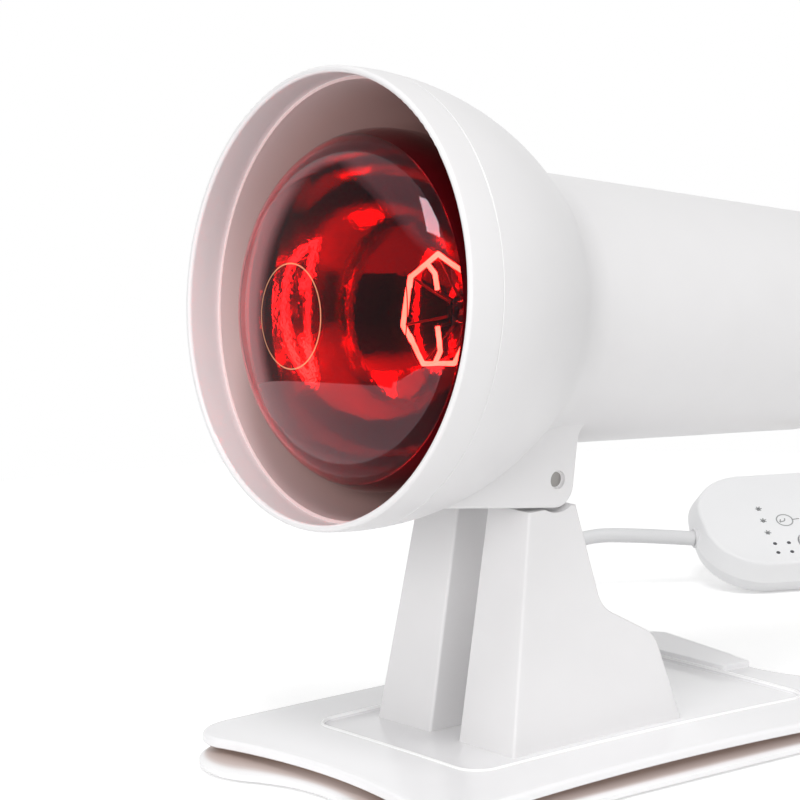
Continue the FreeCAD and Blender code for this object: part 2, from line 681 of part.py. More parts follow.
def bowl_edges(inset):
    """From the fused seam over the widest ring, down the mirrored cone to the neck."""
    dome, shoulder, centre_r, dome_centre, shoulder_s, touch = bulb_arcs(inset)
    seam = math.radians(BULB_SEAM_ANGLE)
    cone = math.radians(180 - BULB_CONE_ANGLE)
    seam_point = on_arc(shoulder_s, centre_r, shoulder, seam)
    widest_point = on_arc(shoulder_s, centre_r, shoulder, math.pi / 2)
    back = BULB_BACK_R - inset
    back_cr = BULB_R - BULB_BACK_R
    leave_angle = math.pi / 2 + math.radians(BULB_CONE_ANGLE)
    leave = on_arc(shoulder_s, back_cr, back, leave_angle)
    blend = BULB_NECK_BLEND + inset
    neck_r = BULB_NECK_R - inset
    centre_u = BULB_NECK_R + BULB_NECK_BLEND
    start = V(0, 0, 0)
    slope = math.tan(math.radians(BULB_CONE_ANGLE))
    outer_leave = on_arc(shoulder_s, back_cr, BULB_BACK_R, leave_angle)
    out_s, out_r = math.sin(math.radians(BULB_CONE_ANGLE)), math.cos(math.radians(BULB_CONE_ANGLE))
    target = centre_u - out_r * BULB_NECK_BLEND
    run = (outer_leave.z - target) / slope
    blend_s = outer_leave.y + run + out_s * BULB_NECK_BLEND
    cone_end = V(0, blend_s - out_s * blend, centre_u - out_r * blend)
    neck_start = V(0, blend_s, centre_u - blend)
    half = math.radians(BULB_CONE_ANGLE) / 2
    blend_mid = V(0, blend_s - math.sin(half) * blend, centre_u - math.cos(half) * blend)
    neck_end = V(0, BULB_NECK_END, neck_r)
    edges = [arc(seam_point, on_arc(shoulder_s, centre_r, shoulder, (seam + math.pi / 2) / 2), widest_point),
             arc(widest_point, on_arc(shoulder_s, back_cr, back, (math.pi / 2 + leave_angle) / 2), leave),
             line(leave, cone_end), arc(cone_end, blend_mid, neck_start), line(neck_start, neck_end)]
    return edges, seam_point, neck_end


def bulb_bowl():
    outer, outer_seam, outer_end = bowl_edges(0.0)
    inner, inner_seam, inner_end = bowl_edges(BULB_GLASS)
    return lathe(outer + inner + [line(outer_seam, inner_seam), line(outer_end, inner_end)])


def bulb_screw_cap():
    """Nickelled cap: a collar on the glass neck and the screw shell behind it."""
    collar_r = BULB_NECK_R + CAP_METAL
    start = BULB_NECK_END - CAP_COLLAR
    end = cap_end_s()
    return lathe_points([(start, BULB_NECK_R), (start, collar_r), (BULB_NECK_END, collar_r),
                         (BULB_NECK_END + CAP_METAL, BULB_CAP_R), (end, BULB_CAP_R),
                         (end, BULB_CAP_R - CAP_METAL), (BULB_NECK_END, BULB_CAP_R - CAP_METAL),
                         (BULB_NECK_END, BULB_NECK_R)])


def cap_end_s():
    return BULB_NECK_END + BULB_CAP_LEN


def bulb_insulator():
    end = cap_end_s()
    wide = BULB_CAP_R - CAP_METAL
    return lathe_points([(end - INSULATOR_SEAT, 0), (end - INSULATOR_SEAT, wide), (end, wide),
                         (end + INSULATOR_LEN, CONTACT_R + 1.0),
                         (end + INSULATOR_LEN, 0)])


def bulb_contact():
    start = cap_end_s() + INSULATOR_LEN
    return lathe_points([(start, 0), (start, CONTACT_R), (start + CONTACT_LEN * 0.5, CONTACT_R),
                         (start + CONTACT_LEN, CONTACT_R * 0.5), (start + CONTACT_LEN, 0)])


def bulb_stem():
    """Glass stem that carries the filament."""
    flare = BULB_NECK_END - STEM_SEAL
    end = flare + STEM_SEAL / 2
    return lathe_points([(STEM_FRONT_S, 0), (STEM_FRONT_S, STEM_R - STEM_BEVEL),
                         (STEM_FRONT_S + STEM_BEVEL, STEM_R), (flare - STEM_FLARE_LEN, STEM_R),
                         (flare, STEM_FLARE_R), (end, STEM_FLARE_R), (end, 0)])


def filament_corners():
    """Hooks that spread the coiled wire into a seven-sided loop across the axis."""
    corners = []
    for i in range(FILAMENT_SIDES):
        angle = math.radians(FILAMENT_PHASE + i * 360.0 / FILAMENT_SIDES)
        corners.append(V(FILAMENT_RING_R * math.cos(angle), FILAMENT_S, FILAMENT_RING_R * math.sin(angle)))
    return corners


def filament_leg(leg):
    """From the middle of a side of the loop, by an elbow, to the lead-in wire beside the axis."""
    side, share, elbow, end = leg
    corners = filament_corners()
    root = corners[side] * (1 - share) + corners[(side + 1) % FILAMENT_SIDES] * share
    return [root, V(elbow[0], FILAMENT_S, elbow[1]), V(end[0], FILAMENT_S, end[1])]


def rod(a, b, r):
    return Part.makeCylinder(r, (b - a).Length, a, b - a)


def filament():
    corners = filament_corners()
    runs = list(zip(corners, corners[1:] + corners[:1]))
    for leg in (UPPER_LEG, LOWER_LEG):
        root, elbow, end = filament_leg(leg)
        runs += [(root, elbow), (elbow, end)]
    rods = [rod(a, b, FILAMENT_R) for a, b in runs]
    balls = [Part.makeSphere(FILAMENT_R, a) for a, _ in runs]
    return rods[0].fuse(rods[1:] + balls).removeSplitter()


def filament_supports():
    """Radial wires from the stem to every hook, and two lead-in wires to the legs' ends."""
    wires = []
    for corner in filament_corners():
        outward = V(corner.x, 0, corner.z).normalize()
        root = V(0, STEM_FRONT_S + WIRE_ROOT_S, 0) + outward * (STEM_R - WIRE_ROOT)
        wires.append(rod(root, corner - (corner - root).normalize() * (FILAMENT_R + WIRE_R), WIRE_R))
    for leg in (UPPER_LEG, LOWER_LEG):
        end = filament_leg(leg)[-1]
        root = V(end.x, STEM_FRONT_S + STEM_BEVEL, math.copysign(STEM_R - STEM_BEVEL, end.z))
        wires.append(rod(root, end - (end - root).normalize() * (FILAMENT_R + WIRE_R), WIRE_R))
    return compound(wires)


# ================================================================ lamp holder
def bracket_s():
    return HOLDER_LIP_S + HOLDER_LEN


def lamp_holder():
    """Ceramic E27 body: flared mouth, cap well and a terminal block behind."""
    well_r = BULB_CAP_R + HOLDER_PLAY + HOLDER_SHELL_T
    end = HOLDER_LIP_S + HOLDER_LEN
    floor = holder_floor_s()
    step = HOLDER_BACK_STEP
    body = lathe_points([(HOLDER_LIP_S, well_r + HOLDER_MOUTH_WALL),
                         (HOLDER_LIP_S + HOLDER_MOUTH_WALL, HOLDER_R),
                         (end - 2 * step, HOLDER_R), (end - step, HOLDER_R - step), (end, HOLDER_R - step),
                         (end, 0), (floor, 0), (floor, well_r), (HOLDER_LIP_S, well_r)])
    for side in (-1, 1):
        body = body.cut(terminal_well(side, end - TERMINAL_DEPTH, 2 * TERMINAL_DEPTH))
        mouth = V(0, end, side * HOLDER_SCREW_U)
        hole = Part.makeCylinder(PILOT_R, HOLDER_SCREW_LEN + 1.0, mouth, V(0, -1, 0))
        body = body.cut(hole)
    return body.removeSplitter()


def terminal_well(side, start, depth):
    """Block that cuts a terminal's well, or its window in the strap."""
    return Part.makeBox(TERMINAL_WIDTH, depth, TERMINAL_HEIGHT,
                        V(side * TERMINAL_X - TERMINAL_WIDTH / 2, start, -TERMINAL_HEIGHT / 2))


def holder_floor_s():
    """Bottom of the cap well: the contact spring's height behind the bulb's contact."""
    return cap_end_s() + INSULATOR_LEN + CONTACT_LEN + CONTACT_SPRING


def holder_shell():
    """Brass shell lining the well."""
    inner = BULB_CAP_R + HOLDER_PLAY
    start = HOLDER_LIP_S + 1.0
    return tube(inner + HOLDER_SHELL_T, inner, holder_floor_s() - start, V(0, start, 0))


def holder_contact():
    """Bent centre contact: a foot on the well's floor and a raised tongue."""
    floor = holder_floor_s()
    tip = cap_end_s() + INSULATOR_LEN + CONTACT_LEN
    heel, toe = CONTACT_FOOT
    low, high = CONTACT_TONGUE
    t = CONTACT_STRIP_T
    points = [V(0, floor, heel), V(0, floor, toe), V(0, tip + t, high), V(0, tip, high), V(0, tip, low),
              V(0, floor - t, toe - t), V(0, floor - t, heel)]
    edges = [line(a, b) for a, b in zip(points, points[1:] + points[:1])]
    shape = prism(face_of(edges), V(CONTACT_STRIP_WIDTH, 0, 0))
    shape.translate(V(-CONTACT_STRIP_WIDTH / 2, 0, 0))
    return shape


def holder_bracket():
    """Steel strap across the back of the holder, screwed to the holder and to two bosses in the barrel."""
    foot_x = bracket_foot_x()
    end = bracket_s()
    plate = rounded_rectangle(-foot_x - BRACKET_FOOT_R, foot_x + BRACKET_FOOT_R, -BRACKET_FOOT_R,
                              BRACKET_FOOT_R, BRACKET_FOOT_R - 0.1, 0)
    strap = prism(plate, V(0, 0, BRACKET_T))
    strap = strap.fuse(Part.makeCylinder(BRACKET_DISC_R, BRACKET_T, V(0, 0, 0), V(0, 0, 1)))
    for side in (-1, 1):
        for x, y in ((side * foot_x, 0), (0, side * HOLDER_SCREW_U)):
            strap = strap.cut(Part.makeCylinder(M3_R + SCREW_GAP, BRACKET_T, V(x, y, 0), V(0, 0, 1)))
    strap.Placement = Placement(V(0, end + BRACKET_T, 0), Rotation(V(1, 0, 0), 90))
    for side in (-1, 1):
        strap = strap.cut(terminal_well(side, end, BRACKET_T))
    return strap.removeSplitter()


def holder_screws():
    """Two screws hold the holder on its strap."""
    seat = bracket_s() + BRACKET_T
    return compound([screw(M3_HEAD_R - 0.4, M3_HEAD_T, PILOT_R, HOLDER_SCREW_LEN,
                          V(0, seat, side * HOLDER_SCREW_U), V(0, -1, 0))
                     for side in (-1, 1)])


def bracket_screws():
    """Two screws hold the strap on the housing's bosses."""
    seat = bracket_s() + BRACKET_T
    foot_x = bracket_foot_x()
    return compound([screw(M3_HEAD_R, M3_HEAD_T, PILOT_R, BOSS_LEN - 4.0, V(side * foot_x, seat, 0),
                           V(0, -1, 0)) for side in (-1, 1)])


# ================================================================ hinge
def hinge_pin():
    half = CHEEK_X - PIN_RECESS
    return Part.makeCylinder(PIN_R, 2 * half, pin_place(-half), V(1, 0, 0))


def friction_washers():
    inner_face = CHEEK_X - CHEEK_WALL
    return compound([tube(WASHER_R, PIN_R, WASHER_T, pin_place(side * inner_face), V(-side, 0, 0))
                     for side in (-1, 1)])


def ear_outer_x():
    return CHEEK_X - CHEEK_WALL - WASHER_T - WASHER_GAP


def hinge_spacer():
    centre = V(-EAR_INNER_X, PIN_Y, PIN_Z)
    return tube(SPACER_R, PIN_R + PIN_HOLE_GAP, 2 * EAR_INNER_X, centre, V(1, 0, 0))


# ================================================================ stand
def recess_floor_z():
    return LIP_TOP_Z - RECESS_DEPTH


def crown(top_z):
    """Huge ball whose top carries a crowned surface."""
    return Part.makeSphere(CROWN_R, V(0, BASE_Y, top_z - CROWN_R))


def crown_drop(x, y):
    """How far the crown has fallen below its top at a point."""
    return CROWN_R - math.sqrt(CROWN_R ** 2 - x ** 2 - (y - BASE_Y) ** 2)


def along_line(a, b, z):
    """Y of the line through two (y, z) points at height z."""
    return a[0] + (b[0] - a[0]) * (z - a[1]) / (b[1] - a[1])


def stand_profile(bottom_z):
    """Side outline of a pillar: leaning front, notched top, swept rear."""
    floor = recess_floor_z()
    front = ((FOOT_FRONT_Y, floor), (TOP_FRONT_Y, STAND_TOP_Z))
    rear = ((FOOT_REAR_Y, floor), HIP)
    outline = [V(0, along_line(*front, bottom_z), bottom_z), V(0, along_line(*rear, bottom_z), bottom_z),
               V(0, HIP[0], HIP[1]), V(0, WAIST[0], WAIST[1]), V(0, TIP_Y, STAND_TOP_Z),
               V(0, TOP_FRONT_Y, STAND_TOP_Z)]
    return face_of(filleted_edges(outline, [0, 0, HIP_R, WAIST_R, 0, 0]))


def width_profile(inset, bottom_z, top_z):
    """Front outline of the right pillar: straight at the slot, drafted outside."""
    floor = recess_floor_z()
    draft = (FOOT_HALF_WIDTH - TOP_HALF_WIDTH) / (STAND_TOP_Z - floor)
    cos_draft = math.cos(math.atan(draft))

    def outer_x(z):
        return FOOT_HALF_WIDTH - (z - floor) * draft - inset / cos_draft

    points = [V(SLOT_HALF + inset, 0, bottom_z), V(outer_x(bottom_z), 0, bottom_z),
              V(outer_x(top_z), 0, top_z), V(SLOT_HALF + inset, 0, top_z)]
    return face_of([line(a, b) for a, b in zip(points, points[1:] + points[:1])])


def stand_right():
    floor = recess_floor_z() - crown_drop(FOOT_HALF_WIDTH, FOOT_FRONT_Y)
    reach = 3 * FOOT_HALF_WIDTH
    block = prism(stand_profile(floor), V(reach, 0, 0))
    front = prism(width_profile(0.0, floor, PIN_Z), V(0, 2 * reach, 0))
    front.translate(V(0, -reach, 0))
    outer = block.common(front)
    outer = outer.cut(Part.makeCylinder(NOTCH_R, reach, V(0, PIN_Y, PIN_Z), V(1, 0, 0)))
    upright = [e for e in outer.Edges if e.BoundBox.ZMin < PIN_Z - NOTCH_R - STAND_EDGE_R
               and e.BoundBox.ZMax > floor + STAND_EDGE_R
               and e.BoundBox.XLength < TOP_HALF_WIDTH - SLOT_HALF - 1.0]
    outer = outer.makeFillet(STAND_EDGE_R, upright)
    low = floor - STAND_WALL - 1.0
    inner_face = stand_profile(low).makeOffset2D(-STAND_WALL)
    hollow = prism(inner_face, V(reach, 0, 0))
    inner_front = prism(width_profile(STAND_WALL, low, PIN_Z), V(0, 2 * reach, 0))
    inner_front.translate(V(0, -reach, 0))
    hollow = hollow.common(inner_front)
    hollow = hollow.cut(Part.makeCylinder(NOTCH_R + STAND_WALL, reach, V(0, PIN_Y, PIN_Z), V(1, 0, 0)))
    pillar = outer.cut(hollow)
    neck_low = PIN_Z - NOTCH_R - STAND_WALL
    ear_width = ear_outer_x() - EAR_INNER_X
    ear = Part.makeCylinder(EAR_R, ear_width, V(EAR_INNER_X, PIN_Y, PIN_Z), V(1, 0, 0))
    neck_corner = V(EAR_INNER_X, PIN_Y - EAR_R, neck_low)
    ear = ear.fuse(Part.makeBox(ear_width, 2 * EAR_R, PIN_Z - neck_low, neck_corner))
    pillar = pillar.fuse(ear)
    for y in BOSS_YS:
        boss = Part.makeCylinder(BOSS_R, BOSS_LEN, V(BOSS_X, y, floor), V(0, 0, 1))
        rib = Part.makeBox(FOOT_HALF_WIDTH, RIB_T, BOSS_LEN, V(BOSS_X, y - RIB_T / 2, floor))
        pillar = pillar.fuse(boss.fuse(rib).common(outer))
        pillar = pillar.cut(Part.makeCylinder(PILOT_R, BOSS_LEN - 2.0, V(BOSS_X, y, floor), V(0, 0, 1)))
    pillar = pillar.cut(Part.makeCylinder(PIN_R + PIN_HOLE_GAP, 2 * reach, V(0, PIN_Y, PIN_Z), V(1, 0, 0)))
    return pillar.cut(crown(recess_floor_z())).removeSplitter()


def lead_gate():
    """Where the inner lead leaves the left pillar's top, against its front wall."""
    return V(INNER_LEAD_X, TOP_FRONT_Y + STAND_WALL + INNER_LEAD_R + GATE_GAP, STAND_TOP_Z)


def stand_left(right):
    left = right.mirror(V(0, 0, 0), V(1, 0, 0))
    gate = lead_gate() - V(0, 0, 2 * STAND_WALL)
    return left.cut(Part.makeCylinder(INNER_LEAD_R + GATE_GAP, 4 * STAND_WALL, gate, V(0, 0, 1)))


def stand_screws():
    """Two screws up into each pillar; their heads seat on the lip's crowned underside."""
    seat = LIP_TOP_Z - LIP_T
    length = BOSS_LEN + RECESS_DEPTH - 4.0
    return compound([screw(M3_HEAD_R, M3_HEAD_T, PILOT_R, length,
                           V(side * BOSS_X, y, seat - crown_drop(BOSS_X + M3_HEAD_R, y)), V(0, 0, 1))
                     for side in (-1, 1) for y in BOSS_YS])


# ================================================================ base
def waisted_outline(mid_x, mid_y, corner_x, corner_y, corner_r, inset, z):
    """Closed wire: round corners joined by gently hollow sides, all tangent."""
    mx, my, rc = mid_x - inset, mid_y - inset, corner_r - inset
    a, b = mx - corner_x, my - corner_y
    side_r = (a * a + corner_y ** 2 - rc ** 2) / (2 * (rc - a))
    end_r = (b * b + corner_x ** 2 - rc ** 2) / (2 * (rc - b))
    side_centre = V(mx + side_r, 0, z)
    end_centre = V(0, my + end_r, z)
    corner = V(corner_x, corner_y, z)
    on_side = corner + (side_centre - corner).normalize() * rc
    on_end = corner + (end_centre - corner).normalize() * rc
    tip = corner + V(1, 1, 0).normalize() * rc
    edges = []
    for sx, sy in ((1, 1), (-1, 1), (-1, -1), (1, -1)):
        edges.append(arc(*[V(sx * p.x, sy * p.y, z) for p in (on_side, tip, on_end)]))
    edges.append(arc(V(on_side.x, -on_side.y, z), V(mx, 0, z), V(on_side.x, on_side.y, z)))
    edges.append(arc(V(-on_side.x, -on_side.y, z), V(-mx, 0, z), V(-on_side.x, on_side.y, z)))
    edges.append(arc(V(-on_end.x, on_end.y, z), V(0, my, z), V(on_end.x, on_end.y, z)))
    edges.append(arc(V(-on_end.x, -on_end.y, z), V(0, -my, z), V(on_end.x, -on_end.y, z)))
    outline = Part.Wire(Part.__sortEdges__(edges))
    outline.translate(V(0, BASE_Y, 0))
    return outline


def lip_outline(inset, z):
    return waisted_outline(BASE_MID_X, BASE_MID_Y, CORNER_X, CORNER_Y, CORNER_R, inset, z)


def tray_outline(inset, z):
    return waisted_outline(TRAY_MID_X, TRAY_MID_Y, TRAY_CORNER_X, TRAY_CORNER_Y, TRAY_CORNER_R, inset, z)


def neck_outline(inset, z):
    """Outline under the lip where the skirt's hollow ends."""
    return tray_outline(NECK_INSET + inset, z)


def posts(radius, bottom, top):
    return [Part.makeCylinder(radius, top - bottom, V(sx * POST_X, BASE_Y + sy * POST_Y, bottom), V(0, 0, 1))
            for sx in (-1, 1) for sy in (-1, 1)]


def flat_pocket(top, depth):
    """Solid that cuts the recess round the stand down to its own crown."""
    face = rounded_rectangle(-RECESS_X, RECESS_X, RECESS_FRONT_Y, RECESS_REAR_Y, RECESS_R, top - 3 * depth)
    return prism(face, V(0, 0, 4 * depth)).cut(crown(top - depth))


def base_top():
    """Crowned lip plate with a rounded edge, a recess round the stand and posts for the base screws."""
    low = LIP_TOP_Z - LIP_T
    deepest = low - crown_drop(BASE_MID_X, BASE_MID_Y + BASE_Y)
    plate = prism(Part.Face(lip_outline(0.0, deepest)), V(0, 0, LIP_TOP_Z - deepest + 1.0))
    plate = plate.common(crown(LIP_TOP_Z))
    rim_drop = crown_drop(0, BASE_Y + BASE_MID_Y) / 4
    rim = [e for e in plate.Edges if e.BoundBox.ZMin > low and e.BoundBox.ZMax < LIP_TOP_Z - rim_drop]
    plate = plate.makeFillet(LIP_EDGE_R, rim)
    plate = plate.cut(crown(low)).cut(flat_pocket(LIP_TOP_Z, RECESS_DEPTH))
    post_bottom = TRAY_BOTTOM_Z + TRAY_FLOOR_T
    plate = plate.fuse(posts(POST_R, post_bottom, low))
    for hole in posts(PILOT_R, post_bottom, low + 0.6):
        plate = plate.cut(hole)
    for side in (-1, 1):
        for y in BOSS_YS:
            start = V(side * BOSS_X, y, low - LIP_T / 2)
            plate = plate.cut(Part.makeCylinder(M3_R + SCREW_GAP, 2 * LIP_T, start, V(0, 0, 1)))
    half = INNER_LEAD_R + SLOT_GAP
    riser = rounded_rectangle(INNER_LEAD_X - half, INNER_LEAD_X + half, lead_riser_y() - half,
                              lead_riser_y() + RISER_SLOT + half, half - 0.05, low - LIP_T / 2)
    plate = plate.cut(prism(riser, V(0, 0, 2 * LIP_T)))
    channel = rounded_rectangle(cord_exit().x + CHANNEL_START, COVER_RIGHT_X - COVER_WALL, channel_front(),
                                channel_front() + CHANNEL_WIDTH, COVER_WALL, deepest)
    plate = plate.cut(prism(channel, V(0, 0, 4 * LIP_T)))
    return plate.cut(relief_hole()).removeSplitter()


def base_tray():
    """Lower shell: a floor, an outer band on the floor and a hollow skirt that draws in under the lip."""
    top = LIP_TOP_Z - LIP_T
    solid = prism(Part.Face(tray_outline(0.0, TRAY_BOTTOM_Z)), V(0, 0, BAND_TOP_Z - TRAY_BOTTOM_Z))
    sections = [tray_outline(0.0, BAND_TOP_Z)] + [tray_outline(inset, z) for z, inset in COVE]
    sections.append(neck_outline(0.0, top))
    solid = solid.fuse(Part.makeLoft(sections, True, True)).common(crown(top))
    hollow = prism(Part.Face(neck_outline(TRAY_WALL, TRAY_BOTTOM_Z + TRAY_FLOOR_T)), V(0, 0, top))
    tray = solid.cut(hollow)
    for hole in posts(M3_R + SCREW_GAP, 0.0, 6.0):
        tray = tray.cut(hole)
    for head in posts(M3_HEAD_R + 0.3, 0.0, TRAY_BOTTOM_Z + 0.9):
        tray = tray.cut(head)
    for pad in foot_pads():
        tray = tray.cut(pad)
    return tray.cut(relief_hole()).removeSplitter()


def foot_pads():
    return [Part.makeCylinder(FOOT_PAD_R, FOOT_PAD_T, V(sx * PAD_X, BASE_Y + sy * PAD_Y, 0), V(0, 0, 1))
            for sx in (-1, 1) for sy in (-1, 1)]


def base_screws():
    seat = TRAY_BOTTOM_Z + 0.9
    length = LIP_TOP_Z - LIP_T - seat - 0.5
    return compound([screw(M3_HEAD_R, 0.8, PILOT_R, length, V(sx * POST_X, BASE_Y + sy * POST_Y, seat),
                           V(0, 0, 1))
                     for sx in (-1, 1) for sy in (-1, 1)])


def ballast_plate():
    """Steel plate on the tray's floor, slotted for the inner lead."""
    bottom = TRAY_BOTTOM_Z + TRAY_FLOOR_T
    rear = BALLAST_CENTRE_Y + BALLAST_Y / 2
    face = rounded_rectangle(-BALLAST_X / 2, BALLAST_X / 2, rear - BALLAST_Y, rear, BALLAST_CORNER_R, bottom)
    plate = prism(face, V(0, 0, BALLAST_T))
    half = 2 * INNER_LEAD_R
    end = lead_riser_y() - half
    slot = Part.makeBox(2 * half, rear - end, BALLAST_T, V(INNER_LEAD_X - half, end, bottom))
    return plate.cut(slot)


def channel_front():
    """Front of the cord channel that is cut through the lip."""
    return COVER_FRONT_Y + COVER_MARGIN


def cord_exit():
    """Where the strain relief's taper starts, at the left end of the cord channel."""
    y = channel_front() + CHANNEL_WIDTH / 2
    return V(-CORNER_X - CORNER_R + 2.0, y, COVER_TOP_Z - COVER_WALL - RELIEF_R)


def relief_hole():
    start = cord_exit()
    return Part.makeCylinder(RELIEF_R, RELIEF_ROOT + 8.0, start + V(-8.0, 0, 0), V(1, 0, 0))


def cord_cover():
    """Flat-topped lid over the cord channel, on the rear margin of the lip, with a straight rear edge."""
    rear_left_y = COVER_REAR_Y + COVER_REAR_SLOPE * (COVER_RIGHT_X - COVER_LEFT_X)
    corners = [V(COVER_LEFT_X, COVER_FRONT_Y, LIP_TOP_Z / 2), V(COVER_RIGHT_X, COVER_FRONT_Y, LIP_TOP_Z / 2),
               V(COVER_RIGHT_X, COVER_REAR_Y, LIP_TOP_Z / 2), V(COVER_LEFT_X, rear_left_y, LIP_TOP_Z / 2)]
    blank = face_of(filleted_edges(corners, [COVER_EDGE_R] * 4))
    lid = prism(blank, V(0, 0, COVER_TOP_Z - LIP_TOP_Z / 2))
    lid = lid.common(prism(Part.Face(lip_outline(LIP_EDGE_R, LIP_TOP_Z / 2)), V(0, 0, LIP_TOP_Z)))
    lid = lid.makeFillet(COVER_EDGE_R / 2, flat_edges(lid, COVER_TOP_Z))
    lid = lid.cut(crown(LIP_TOP_Z))
    return lid.cut(relief_hole()).removeSplitter()


# ================================================================ cords
def rounded_path(points, name):
    """Straight runs joined by tangent arcs; each arc is as large as its two runs allow."""
    edges, radii = [], []
    here = points[0]
    for before, corner, after in zip(points, points[1:], points[2:]):
        into, out = before - corner, after - corner
        reach = 0.45 * min(into.Length, out.Length)
        into, out = into.normalize(), out.normalize()
        inner = into.getAngle(out)
        radius = reach * math.tan(inner / 2)
        middle = corner + (into + out).normalize() * (radius / math.sin(inner / 2) - radius)
        enter, leave = corner + into * reach, corner + out * reach
        edges += [line(here, enter), arc(enter, middle, leave)]
        radii.append(radius)
        here = leave
    edges.append(line(here, points[-1]))
    print("%-12s radii %s" % (name, " ".join("%.0f" % r for r in radii)))
    return Part.Wire(edges)


def cord_tube(points, radius, name):
    wire = rounded_path(points, name)
    profile = Part.Wire(Part.makeCircle(radius, points[0], points[1] - points[0]))
    solid = wire.makePipeShell([profile], True, False)
    exact = math.pi * radius ** 2 * wire.Length
    print("%-12s length %.1f  volume %.1f of %.1f" % (name, wire.Length, solid.Volume, exact))
    return solid


def lead_riser_y():
    """The inner lead rises inside the left pillar between its two bosses."""
    return (BOSS_YS[0] + BOSS_YS[1]) / 2


def strain_relief():
    """Tapered moulding: its root is held under the cord cover."""
    start = cord_exit()
    taper = Part.makeCone(RELIEF_R, RELIEF_TIP_R, RELIEF_LEN, start, V(-1, 0, 0))
    root = Part.makeCylinder(RELIEF_R, RELIEF_ROOT, start, V(1, 0, 0))
    return taper.fuse(root).removeSplitter()


def inner_lead_points():
    """From the strain relief under the cover, along the tray and up the left pillar into the head."""
    start = cord_exit() + V(RELIEF_ROOT, 0, 0)
    low = TRAY_BOTTOM_Z + TRAY_FLOOR_T + INNER_LEAD_R + GATE_GAP
    gate = lead_gate()
    riser = lead_riser_y()
    x = INNER_LEAD_X
    return [start, start + V(12.0, 0, -0.3), V(x - 10.0, start.y - 0.6, low + 0.4),
            V(x - 2.5, start.y - 7.5, low), V(x, start.y - INNER_LEAD_TURN, low),
            V(x + 0.4, INNER_LEAD_REST_Y, low), V(x, riser + 12.0, low),
            V(x, riser + 1.0, low + 7.0), V(x, riser - 1.0, 26.0), V(x, gate.y + 5.0, 50.0),
            V(x, gate.y, gate.z - 6.0), V(x, gate.y + 0.05, gate.z + 14.0)]


def lead_a_points():
    end, heading = controller_port(-1)
    start = cord_exit() + V(-RELIEF_LEN, 0, 0)
    return [start, start + V(-16.0, 1.6, -1.6), V(-114.0, 85.0, 3.4), V(-129.0, 99.5, 6.0),
            V(-137.0, 117.0, 13.3), V(-136.0, 135.5, 18.9), end - heading * 18.0 + V(-0.8, 0.6, 2.0), end]


def controller_frame():
    """Placement of the controller: x along it, y up its slope, z out of its face; origin under its middle."""
    heading = math.radians(CTRL_HEADING)
    u = V(math.cos(heading), math.sin(heading), 0)
    away = V(-u.y, u.x, 0)
    tilt = math.radians(CTRL_TILT)
    slope = away * math.cos(tilt) + V(0, 0, 1) * math.sin(tilt)
    normal = u.cross(slope)
    low = (CTRL_W / 2 - CTRL_BOTTOM_R) * math.sin(tilt) - CTRL_BOTTOM_R * math.cos(tilt) + CTRL_BOTTOM_R
    return Placement(V(CTRL_X, CTRL_Y, low), Rotation(u, slope, normal, "ZXY"))


def controller_port(side):
    """Where a lead meets the bushing in an end of the controller, and the direction into or out of it."""
    frame = controller_frame()
    along = frame.Rotation.multVec(V(1, 0, 0))
    return frame.multVec(V(side * CTRL_L / 2, PORT_Y, CTRL_SPLIT)), along


def controller_outline(inset, z):
    half_l, half_w = CTRL_L / 2 - inset, CTRL_W / 2 - inset
    return rounded_rectangle(-half_l, half_l, -half_w, half_w, CTRL_CORNER_R - inset, z)


def leaning_block(inset_low, inset_high, z_low, z_high):
    """Pill-shaped block whose wall leans between two insets."""
    sections = [controller_outline(inset_low, z_low).OuterWire,
                controller_outline(inset_high, z_high).OuterWire]
    return Part.makeLoft(sections, True, True)


def flat_edges(shape, z):
    return [e for e in shape.Edges if abs(e.BoundBox.ZMin - z) < 1e-5 and abs(e.BoundBox.ZMax - z) < 1e-5]


def controller_foot(inset, top):
    """Wedge from the shell's underside straight down to the floor."""
    half_l, half_w = CTRL_FOOT_L / 2 - inset, CTRL_FOOT_W / 2 - inset
    face = rounded_rectangle(-half_l, half_l, CTRL_FOOT_Y - half_w, CTRL_FOOT_Y + half_w,
                             CTRL_FOOT_R - inset, top)
    wedge = prism(placed(face, controller_frame()), V(0, 0, -CTRL_W))
    below = Part.makeBox(2 * CTRL_L, 2 * CTRL_L, CTRL_L, V(CTRL_X - CTRL_L, CTRL_Y - CTRL_L, -CTRL_L))
    return wedge.cut(below)


def controller_lower():
    shell = leaning_block(CTRL_BASE_INSET, 0.0, 0.0, CTRL_SPLIT)
    shell = shell.makeFillet(CTRL_BOTTOM_R, flat_edges(shell, 0.0))
    shell = shell.cut(leaning_block(CTRL_BASE_INSET + CTRL_WALL, CTRL_WALL, CTRL_WALL, CTRL_SPLIT))
    frame = controller_frame()
    posts_low = [tube(POST_LOW_R, 0, CTRL_SPLIT - CTRL_WALL / 2, V(x, y, CTRL_WALL / 2), V(0, 0, 1))
                 for x, y in SCREW_SPOTS]
    shell = placed(shell.fuse(board_holders() + posts_low), frame).fuse(controller_foot(0.0, CTRL_WALL / 2))
    shell = shell.cut(controller_foot(CTRL_WALL, 0.0))
    for cutter in port_cutters() + controller_screw_holes():
        shell = shell.cut(placed(cutter, frame))
    return shell.removeSplitter()


def port_cutters():
    return [Part.makeCylinder(PORT_R, PORT_WALL, V(side * CTRL_L / 2, PORT_Y, CTRL_SPLIT), V(-side, 0, 0))
            for side in (-1, 1)]


